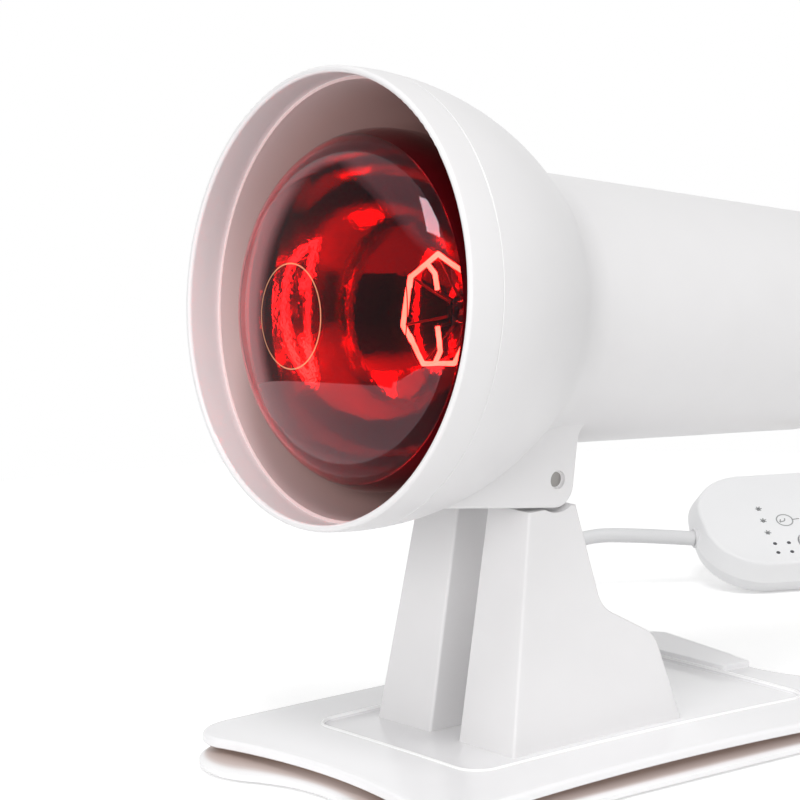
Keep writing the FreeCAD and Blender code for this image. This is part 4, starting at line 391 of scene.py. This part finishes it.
def dress_all():
    """Dresses every CAD node; the materials of the lead, the base and its tray serve again."""
    dress(plastic("housing_plastic", HOUSING_WHITE), "rear_cap", "stand_right", "stand_left", "hinge_spacer")
    # painted light: the cord cover is made paler than the housing's white to lift the shade that falls on it
    dress(plastic("cover_plastic_painted_light", (0.94, 0.935, 0.945)), "cord_cover")
    # painted light: the bulb's red glow and the shade deeper in are painted on the shade and ring walls
    add_painted_bulb_glow(dress(plastic("shade_plastic_painted_glow", HOUSING_WHITE), "head_housing"), SHADE_PAINTED_GLOW_STOPS, SHADE_LIMIT)
    add_painted_bulb_glow(dress(plastic("rim_plastic_painted_glow", HOUSING_WHITE), "front_ring"), RING_PAINTED_GLOW_STOPS, RING_LIMIT)
    gloss = dress(textured("base_plastic", (0.89, 0.885, 0.895), 0.16, 0.008, 0.01), "base_top")
    skirt = dress(textured("tray_plastic_painted_shade", (0.94, 0.935, 0.94), 0.42, 0.012, 0.04), "base_tray")
    # painted shade in the groove under the base's lip
    paint_groove_shade(skirt)
    dress(textured("foot_rubber", (0.05, 0.05, 0.05), 0.8, 0.1, 0.2, 900.0),
          "base_feet", "coil_tie", "friction_washers", "pin_sleeves")
    lead = dress(textured("lead_rubber", (0.80, 0.80, 0.81), 0.5, 0.015, 0.06, 2000.0),
                 "strain_relief", "inner_lead", "head_lead", "controller_inlet", "controller_outlet",
                 "lead_to_controller", "lead_to_coil", "lead_coil", "lead_to_plug")
    dress(textured("controller_plastic", (0.975, 0.975, 0.985), 0.42, 0.012, 0.05),
          "controller_lower", "controller_upper", "plug_body")
    dress(textured("button_plastic", (0.74, 0.74, 0.75), 0.4, 0.012, 0.04), "timer_button", "power_button")
    dress(textured("light_guide", (0.06, 0.06, 0.07), 0.3, 0.05, 0.02), "controller_lights")
    dress(textured("circuit_board", (0.05, 0.22, 0.12), 0.4, 0.1, 0.05), "controller_board")
    dress(textured("ceramic", (0.85, 0.84, 0.8), 0.2, 0.02, 0.03), "lamp_holder")
    dress(textured("black_glaze", (0.03, 0.03, 0.035), 0.25, 0.1, 0.02), "bulb_insulator")
    dress(metal("steel", (0.62, 0.61, 0.59), 0.3, 0.05, 0.05),
          "rear_cap_screws", "holder_bracket", "holder_screws", "bracket_screws", "stand_screws",
          "base_screws", "controller_screws")
    dress(metal("brass", (0.75, 0.6, 0.3), 0.3, 0.05, 0.04),
          "holder_shell", "holder_contact", "plug_pins", "bulb_contact")
    dress(metal("pin_steel", (0.30, 0.29, 0.28), 0.4, 0.05, 0.05), "hinge_pin")
    dress(metal("cap_metal", (0.78, 0.76, 0.72), 0.25, 0.04, 0.05), "bulb_screw_cap")
    dress(metal("ballast_steel", (0.35, 0.35, 0.36), 0.5, 0.06, 0.1, 700.0, 50.0), "ballast_plate")
    dress(metal("support_wire", (0.12, 0.05, 0.04), 0.4, 0.1, 0.0, 900.0, 80.0), "filament_supports")
    dress(glass("ruby_glass", (0.88, 0.020, 0.040), (0.86, 0.90, 1.0)), "bulb_dome")
    dress(glass("clear_glass", (0.9, 0.9, 0.9)), "bulb_stem")
    dress(mirror_glass("mirrored_glass_painted_reflection"), "bulb_bowl")
    dress(glowing("filament_wire", (1.0, 0.96, 0.32), 26.0), "filament")
    return lead, gloss, skirt


# ---------------------------------------------------------------- leads
LEAD_DIAMETER = 0.0048
# control points of the leads, along the CAD's tubes; the wound turns come from coil_route
TO_CONTROLLER = ((-0.08, 0.063634, 0.0064), (-0.096, 0.065234, 0.0048), (-0.114, 0.074434, 0.0034),
                 (-0.129, 0.088934, 0.006), (-0.137, 0.106434, 0.0133), (-0.136, 0.124934, 0.0189),
                 (-0.124864, 0.140373, 0.018337), (-0.116457, 0.156086, 0.016337))
TO_COIL = ((-0.072082, 0.251249, 0.016337), (-0.066566, 0.264137, 0.014969), (-0.060249, 0.276625, 0.0128))
TO_PLUG = ((-0.001944, 0.251274, 0.0032), (-0.008163, 0.237366, 0.0036), (-0.019182, 0.223458, 0.00585),
           (-0.024427, 0.210478, 0.00685))
COIL_CENTRE = Vector((-0.031429, 0.263186, 0.0))
COIL_RADIUS = 0.027         # middle of the turns
COIL_FLOOR = 0.0008         # underside of the lowest layer
# places of the turns in the bundle, in diameters: out from its middle and up from the lowest layer
COIL_CELLS = ((1, 2), (0, 2), (-1, 2), (-1, 1), (-1, 0), (0, 0), (0, 1), (1, 1), (1, 0))
TURN_POINTS = 18
MOVE_START = 0.35          # share of a turn at which it leaves its place, and what the move takes
MOVE_LENGTH = 0.3


def smooth(t):
    t = min(1.0, max(0.0, t))
    return t * t * (3 - 2 * t)


def coil_route():
    """Control points of the wound turns; each keeps to its place in the bundle, then moves to the next."""
    first = math.atan2(TO_COIL[-1][1] - COIL_CENTRE.y, TO_COIL[-1][0] - COIL_CENTRE.x)
    last = math.atan2(TO_PLUG[0][1] - COIL_CENTRE.y, TO_PLUG[0][0] - COIL_CENTRE.x)
    turns = len(COIL_CELLS) - 1 + (first - last) / (2 * math.pi)
    count = round(turns * TURN_POINTS)
    widen = 1 / math.cos(math.pi / TURN_POINTS)
    points = []
    for i in range(1, count):
        turned = i / count * turns
        place = turned / turns * len(COIL_CELLS) - 0.5
        here = min(len(COIL_CELLS) - 1, max(0, math.floor(place)))
        there = min(len(COIL_CELLS) - 1, here + 1)
        share = smooth((place - here - MOVE_START) / MOVE_LENGTH) if place > 0 else 0.0
        side, level = [COIL_CELLS[here][k] * (1 - share) + COIL_CELLS[there][k] * share for k in (0, 1)]
        angle = first - turned * 2 * math.pi
        radius = (COIL_RADIUS + side * LEAD_DIAMETER) * widen
        points.append((COIL_CENTRE.x + radius * math.cos(angle),
                       COIL_CENTRE.y + radius * math.sin(angle),
                       COIL_FLOOR + LEAD_DIAMETER * (level + 0.5)))
    return points


def lead_piece(name, points, material):
    curve = bpy.data.curves.new(name, "CURVE")
    curve.dimensions = "3D"
    curve.bevel_depth = LEAD_DIAMETER / 2
    curve.bevel_resolution = 6
    curve.resolution_u = 10
    curve.use_fill_caps = True
    spline = curve.splines.new("NURBS")
    spline.points.add(len(points) - 1)
    for point, place in zip(spline.points, points):
        point.co = (*place, 1.0)
    spline.order_u = 3
    spline.use_endpoint_u = True
    curve.materials.append(material)
    return linked(name, curve)


def add_leads(material, marks):
    near = lead_piece("lead_near", TO_CONTROLLER, material)
    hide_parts("lead_to_controller")
    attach(near, "stand")
    far = lead_piece("lead_far", [*TO_COIL, *coil_route(), *TO_PLUG], material)
    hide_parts("lead_to_coil", "lead_coil", "lead_to_plug")
    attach(far, "stand")


# ---------------------------------------------------------------- base
# the base's front edge is a shallow hollow with tight corners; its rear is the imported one
BASE_SHIFT = -0.008966     # its middle lies this far ahead of the origin
# an outline's quarter: half width and half length at the waists, the corner's centre, its radius
REAR_LIP = (0.054, 0.0794, 0.031, 0.0635, 0.025)
FRONT_LIP = (0.054, 0.0774, 0.0432, 0.0688, 0.013)
TRAY_EDGE = (0.0549, 0.0788, 0.0335, 0.066, 0.022)
ARC_STEPS = 40
CROWN_RADIUS = 2.25
LIP_TOP = 0.0101
LIP_THICK = 0.0026
LIP_EDGE = 0.0011
LIP_EDGE_STEPS = 6
LIP_SHARES = (0.2, 0.4, 0.6, 0.8, 0.93)      # rings of the top, from the raised edge's foot to the rim
SMALL_BEVEL = 0.0003
RECESS_HALF = 0.0343
RECESS_FRONT = -0.0538
RECESS_REAR = 0.0672
RECESS_CORNER = 0.007
RECESS_DEPTH = 0.0009
RECESS_SHARES = (0.02, 0.35, 0.7, 1.0)
# fine raised edge round the recess: distances outside the recess, heights over the plate's top
BEAD = ((0.0001, -0.0003), (0.0003, 0.00035), (0.0008, 0.00035), (0.0011, 0.0))
BISECTIONS = 40
TRAY_BOTTOM = 0.0008
TRAY_WALL = 0.002
# the tray's band and the hollow above it: heights, and shares of the way from its edge to its neck
TRAY_SIDE = ((0.0022, 0.0), (0.0025, 0.05), (0.0027, 0.14), (0.0034, 0.34), (0.0040, 0.53),
             (0.0046, 0.69), (0.0053, 0.82), (0.0060, 0.91), (0.0068, 0.97))
LIP_NECK_INSET = 0.0055
TRAY_NECK_INSET = 0.0064
SHARP_ANGLE = math.radians(32)


def quarter(edge, inset):
    """Points of one quarter of a waisted outline, from its side's middle to its end's middle."""
    half_width, half_length, corner_x, corner_y, corner_radius = edge
    mid_x, mid_y, corner = half_width - inset, half_length - inset, corner_radius - inset
    a, b = mid_x - corner_x, mid_y - corner_y
    side = (a * a + corner_y * corner_y - corner * corner) / (2 * (corner - a))
    end = (b * b + corner_x * corner_x - corner * corner) / (2 * (corner - b))
    lower = math.atan2(corner_y, mid_x + side - corner_x)
    upper = math.atan2(corner_x, mid_y + end - corner_y)
    points = []
    for i in range(ARC_STEPS):
        angle = lower * i / ARC_STEPS
        points.append((mid_x + side - side * math.cos(angle), side * math.sin(angle)))
    for i in range(ARC_STEPS):
        angle = -lower + (math.pi / 2 + upper + lower) * i / ARC_STEPS
        points.append((corner_x + corner * math.cos(angle), corner_y + corner * math.sin(angle)))
    for i in range(ARC_STEPS + 1):
        angle = upper * (1 - i / ARC_STEPS)
        points.append((end * math.sin(angle), mid_y + end - end * math.cos(angle)))
    return points


def waisted(front, rear, front_inset, rear_inset):
    """Closed outline: the front's quarter mirrored at the front, the rear's at the back."""
    ahead = [(x, -y) for x, y in quarter(front, front_inset)]
    behind = quarter(rear, rear_inset)
    right = ahead[::-1] + behind[1:]
    return right + [(-x, y) for x, y in right[-2:0:-1]]


def lip_outline(inset):
    return waisted(FRONT_LIP, REAR_LIP, inset, inset)


def tray_outline(inset):
    return waisted(TRAY_EDGE, TRAY_EDGE, inset, inset)


def neck_outline(inset):
    return waisted(FRONT_LIP, TRAY_EDGE, LIP_NECK_INSET + inset, TRAY_NECK_INSET + inset)


def recess_point(x, y, grow):
    """Where the ray from the base's middle through (x, y) meets the recess's edge, grown by so much."""
    middle = (RECESS_FRONT + RECESS_REAR) / 2
    low, high = 0.0, 1.0
    for _ in range(BISECTIONS):
        share = (low + high) / 2
        dx = abs(x) * share - (RECESS_HALF - RECESS_CORNER)
        dy = abs(y * share - middle) - ((RECESS_REAR - RECESS_FRONT) / 2 - RECESS_CORNER)
        reach = math.hypot(max(dx, 0), max(dy, 0)) + min(max(dx, dy), 0) - RECESS_CORNER - grow
        low, high = (share, high) if reach < 0 else (low, share)
    return x * low, y * low


def recess_edge(outline, grow=0.0):
    return [recess_point(x, y, grow) for x, y in outline]


def between(first, second, share):
    """Outline that share of the way from one to another."""
    return [(a * (1 - share) + c * share, b * (1 - share) + d * share)
            for (a, b), (c, d) in zip(first, second)]


def shrunk(points, share):
    return [(x * share, y * share) for x, y in points]


def level(points, z):
    return [(x, y, z) for x, y in points]


def crowned(points, top):
    return [(x, y, top - (x * x + y * y) / (2 * CROWN_RADIUS)) for x, y in points]


def ringed_piece(name, replaced, rings, heights, material, painted_highlight=None):
    """Body of rings, closed in the middle at two heights.

    A second material, a painted highlight, is given with the two rings that it lies between.
    """
    count = len(rings[0])
    verts = [point for ring in rings for point in ring] + [(0.0, 0.0, z) for z in heights]
    faces = []
    for k in range(len(rings) - 1):
        for i in range(count):
            j = (i + 1) % count
            faces.append((k * count + i, k * count + j, (k + 1) * count + j, (k + 1) * count + i))
    last = (len(rings) - 1) * count
    for i in range(count):
        j = (i + 1) % count
        faces.append((i, len(verts) - 2, j))
        faces.append((last + i, last + j, len(verts) - 1))
    mesh = mesh_of(name, [(x, y + BASE_SHIFT, z) for x, y, z in verts], faces, material)
    mesh.polygons.foreach_set("use_smooth", [True] * len(faces))
    mesh.set_sharp_from_angle(angle=SHARP_ANGLE)
    if painted_highlight is not None:
        highlight_material, from_ring, to_ring = painted_highlight
        mesh.materials.append(highlight_material)
        for face in mesh.polygons[from_ring * count:to_ring * count]:
            face.material_index = 1
    piece = linked(name, mesh)
    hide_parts(replaced)
    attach(piece, "stand")


def add_lip(material):
    """Top plate: recess with its raised edge painted white as a highlight, crowned top, rounded edge and
    underside.
    """
    underside = LIP_TOP - LIP_THICK
    rim, top_edge = lip_outline(0.0), lip_outline(LIP_EDGE)
    recess = recess_edge(top_edge)
    rings = [crowned(shrunk(recess, share), LIP_TOP - RECESS_DEPTH) for share in RECESS_SHARES]
    bead = [crowned(recess_edge(top_edge, grow), LIP_TOP + rise) for grow, rise in BEAD]
    # painted highlight: the raised edge round the recess is painted whiter than the plate
    painted_highlight = (textured("bead_painted_highlight", (1.0, 1.0, 1.0), 0.5, 0.0, 0.01),
            len(rings), len(rings) + len(bead) - 1)
    rings += bead
    foot = recess_edge(top_edge, BEAD[-1][0])
    rings += [crowned(between(foot, top_edge, share), LIP_TOP) for share in LIP_SHARES]
    for step in range(LIP_EDGE_STEPS + 1):
        angle = math.pi / 2 * step / LIP_EDGE_STEPS
        outline = lip_outline(LIP_EDGE * (1 - math.sin(angle)))
        rings.append(crowned(outline, LIP_TOP - LIP_EDGE * (1 - math.cos(angle))))
    rings += [crowned(rim, underside + SMALL_BEVEL), crowned(lip_outline(SMALL_BEVEL), underside),
              crowned(shrunk(rim, 0.5), underside)]
    ringed_piece("base_lip", "base_top", rings, (LIP_TOP - RECESS_DEPTH, underside), material, painted_highlight)


def add_skirt(material):
    """Tray: flat bottom, band, hollow up to its neck under the lip, and its inside."""
    edge, neck, inner = tray_outline(0.0), neck_outline(0.0), neck_outline(TRAY_WALL)
    rings = [level(shrunk(edge, 0.5), TRAY_BOTTOM), level(tray_outline(SMALL_BEVEL), TRAY_BOTTOM),
             level(edge, TRAY_BOTTOM + SMALL_BEVEL)]
    rings += [level(between(edge, neck, share), z) for z, share in TRAY_SIDE]
    rings += [crowned(outline, LIP_TOP - LIP_THICK) for outline in (neck, inner)]
    rings.append(level(inner, TRAY_BOTTOM + TRAY_WALL))
    ringed_piece("base_skirt", "base_tray", rings, (TRAY_BOTTOM, TRAY_BOTTOM + TRAY_WALL), material)


# ---------------------------------------------------------------- prints
# thin ring on the dome's face, in the bulb's own frame
PRINT_CENTRE = (-0.0042, -0.0022)
PRINT_RADIUS = 0.0134
PRINT_WIDTH = 0.00034
PRINT_STEPS = 144
PRINT_LIFT = 0.00004
# the controller's face: its middle, then its directions along its long side and up its slope
CONTROLLER_MIDDLE = Vector((-0.097200, 0.205034, 0.011738))
FACE_OUT = Vector((0.453154, -0.211309, 0.866025))
FACE_HEIGHT = 0.01204
FACE_CENTRE = CONTROLLER_MIDDLE + FACE_HEIGHT * FACE_OUT
FACE_ALONG = Vector((0.422618, 0.906308, 0.0))
FACE_UP = Vector((-0.784886, 0.365998, 0.5))
# its marks, in mm along and up the face: a clock with its hands and dash, and three small stars
CLOCK_X, CLOCK_Y = -22.2, -1.5
CLOCK_RADIUS = 2.75
CLOCK_STEPS = 40
CLOCK_STROKES = (((-1.9, -0.9), (-0.1, -0.3)), ((-0.1, -0.3), (0.3, 0.9)), ((-1.9, -0.9), (-1.3, 0.5)),
                 ((2.75, 0.1), (5.2, 0.35)))
STARS = ((-29.4, 4.9), (-29.5, -1.0), (-29.7, -7.0))
STAR_STROKES = 3
STAR_REACH = 1.15
STAR_TURN = 0.12           # half turns from one star to the next
STROKE = 0.42


def print_piece(name, verts, faces, ink, body):
    piece = linked(name, mesh_of(name, verts, faces, ink))
    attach(piece, body)
    return piece


def add_bulb_print():
    """Thin printed ring on the dome's face."""
    verts, faces = [], []
    for i in range(PRINT_STEPS):
        angle = 2 * math.pi * i / PRINT_STEPS
        for radius in (PRINT_RADIUS - PRINT_WIDTH / 2, PRINT_RADIUS + PRINT_WIDTH / 2):
            x = PRINT_CENTRE[0] + radius * math.cos(angle)
            up = PRINT_CENTRE[1] + radius * math.sin(angle)
            back = DOME_CENTRE - math.sqrt((DOME_RADIUS + PRINT_LIFT) ** 2 - x * x - up * up)
            verts.append(bulb_point(x, back, up))
        a, b = 2 * i, 2 * ((i + 1) % PRINT_STEPS)
        faces.append((a, a + 1, b + 1, b))
    ink = textured("print_ink", (0.75, 0.30, 0.15), 0.5, 0.06, 0.0)
    print_piece("bulb_print", verts, faces, ink, "head")


def add_controller_marks():
    """Thin grey marks printed on the controller's face: a clock and three small stars."""
    verts, faces = [], []

    def stroke(start, end):
        start, end = Vector(start), Vector(end)
        side = Vector((start.y - end.y, end.x - start.x)).normalized() * STROKE / 2
        faces.append(tuple(range(len(verts), len(verts) + 4)))
        for x, y in (start + side, start - side, end - side, end + side):
            verts.append(FACE_CENTRE + FACE_ALONG * (x * MM) + FACE_UP * (y * MM))

    turns = [2 * math.pi * i / CLOCK_STEPS for i in range(CLOCK_STEPS + 1)]
    ring = [(CLOCK_X + CLOCK_RADIUS * math.cos(t), CLOCK_Y + CLOCK_RADIUS * math.sin(t)) for t in turns]
    for start, end in zip(ring, ring[1:]):
        stroke(start, end)
    for ends in CLOCK_STROKES:
        stroke(*[(CLOCK_X + x, CLOCK_Y + y) for x, y in ends])
    for k, (x, y) in enumerate(STARS):
        for i in range(STAR_STROKES):
            angle = math.pi * (i / STAR_STROKES + STAR_TURN * k)
            dx, dy = STAR_REACH * math.cos(angle), STAR_REACH * math.sin(angle)
            stroke((x - dx, y - dy), (x + dx, y + dy))
    ink = textured("mark_ink", (0.36, 0.37, 0.37), 0.6, 0.06, 0.0)
    return print_piece("controller_marks", verts, faces, ink, "stand")


# ---------------------------------------------------------------- staging
AMBIENT_LEVEL = 0.50
# the darker room in front of the lamp, for mirror rays and for rays through glass
ROOM_LEVEL = 0.24
ROOM_THROUGH_GLASS = 0.26
ROOM_FRONT = (-7.0, -0.9)  # slope and offset over a direction's Y, and over its Z below the room's top
ROOM_TOP = (-8.0, 5.6)
FLOOR_COLOUR = (0.90, 0.90, 0.90, 1.0)
FLOOR_LIFT = 0.42
FLOOR_REACH = 0.44         # the white table ends here; the surroundings go on from it
FLOOR_STEPS = 96


def white_for_rays(tree, colour_shader, glow):
    """Camera, mirror and glass rays see the surface lifted towards white; it still takes the shadow."""
    path = tree.nodes.new("ShaderNodeLightPath")
    rays = maths(tree, "MAXIMUM", path.outputs["Is Camera Ray"], path.outputs["Is Glossy Ray"])
    rays = maths(tree, "MAXIMUM", rays, path.outputs["Is Transmission Ray"])
    light = tree.nodes.new("ShaderNodeEmission")
    light.inputs["Color"].default_value = WHITE
    tree.links.new(maths(tree, "MULTIPLY", rays, glow), light.inputs["Strength"])
    both = tree.nodes.new("ShaderNodeAddShader")
    tree.links.new(colour_shader.outputs[0], both.inputs[0])
    tree.links.new(light.outputs[0], both.inputs[1])
    return both


def add_floor():
    material = bpy.data.materials.new("floor_white")
    material.use_nodes = True
    tree = material.node_tree
    tree.nodes.clear()
    diffuse = tree.nodes.new("ShaderNodeBsdfDiffuse")
    diffuse.inputs["Color"].default_value = FLOOR_COLOUR
    out = tree.nodes.new("ShaderNodeOutputMaterial")
    tree.links.new(white_for_rays(tree, diffuse, FLOOR_LIFT).outputs[0], out.inputs["Surface"])
    turns = [2 * math.pi * i / FLOOR_STEPS for i in range(FLOOR_STEPS)]
    rim = [(FLOOR_REACH * math.cos(t), FLOOR_REACH * math.sin(t), 0) for t in turns]
    linked("floor", mesh_of("floor", rim, [tuple(range(FLOOR_STEPS))], material))


def add_world():
    """White surroundings; a darker room stands in front of the lamp for what mirrors it."""
    world = bpy.data.worlds.new("studio")
    bpy.context.scene.world = world
    world.use_nodes = True
    tree = world.node_tree
    tree.nodes.clear()
    path = tree.nodes.new("ShaderNodeLightPath")
    direction = components(tree, coordinates(tree, "Generated"))
    in_front = maths(tree, "MULTIPLY_ADD", direction["Y"], *ROOM_FRONT, clamp=True)
    below_top = maths(tree, "MULTIPLY_ADD", direction["Z"], *ROOM_TOP, clamp=True)
    dark = maths(tree, "MULTIPLY", in_front, below_top)
    brightness = AMBIENT_LEVEL
    for ray, room in (("Is Glossy Ray", ROOM_LEVEL), ("Is Transmission Ray", ROOM_THROUGH_GLASS)):
        extra = maths(tree, "MULTIPLY_ADD", dark, room - 1.0, 1.0 - AMBIENT_LEVEL)
        brightness = maths(tree, "MULTIPLY_ADD", path.outputs[ray], extra, brightness)
    brightness = maths(tree, "MAXIMUM", brightness, path.outputs["Is Camera Ray"])
    seen = tree.nodes.new("ShaderNodeBackground")
    seen.inputs["Color"].default_value = WHITE
    tree.links.new(brightness, seen.inputs["Strength"])
    out = tree.nodes.new("ShaderNodeOutputWorld")
    tree.links.new(seen.outputs[0], out.inputs["Surface"])


def add_lamp(name, place, target, size, power, mirrored=True):
    """Soft box aimed at a point; it may be left out of what metal and glass show."""
    data = bpy.data.lights.new(name, "AREA")
    data.shape = "RECTANGLE"
    data.size, data.size_y = size
    data.energy = power
    lamp = linked(name, data)
    lamp.location = place
    lamp.visible_glossy = mirrored
    lamp.visible_transmission = mirrored
    lamp.rotation_euler = (Vector(target) - Vector(place)).to_track_quat("-Z", "Y").to_euler()


add_camera()
lead_material, base_material, tray_material = dress_all()
add_leads(lead_material, add_controller_marks())
add_lip(base_material)
add_skirt(tray_material)
add_bulb_print()
add_floor()
add_world()
add_lamp("soft_box_right", (1.2, 0.25, 0.9), (0.0, 0.0, 0.1), (0.8, 0.9), 3.0)
add_lamp("soft_box_window", (0.44, -0.50, 1.25), (0.03, -0.08, 0.15), (0.34, 0.52), 5.5)
add_lamp("soft_box_fill", (0.62, -1.15, 0.42), (0.0, -0.05, 0.1), (0.7, 0.5), 7.0, False)
bpy.context.scene.view_settings.view_transform = "Standard"
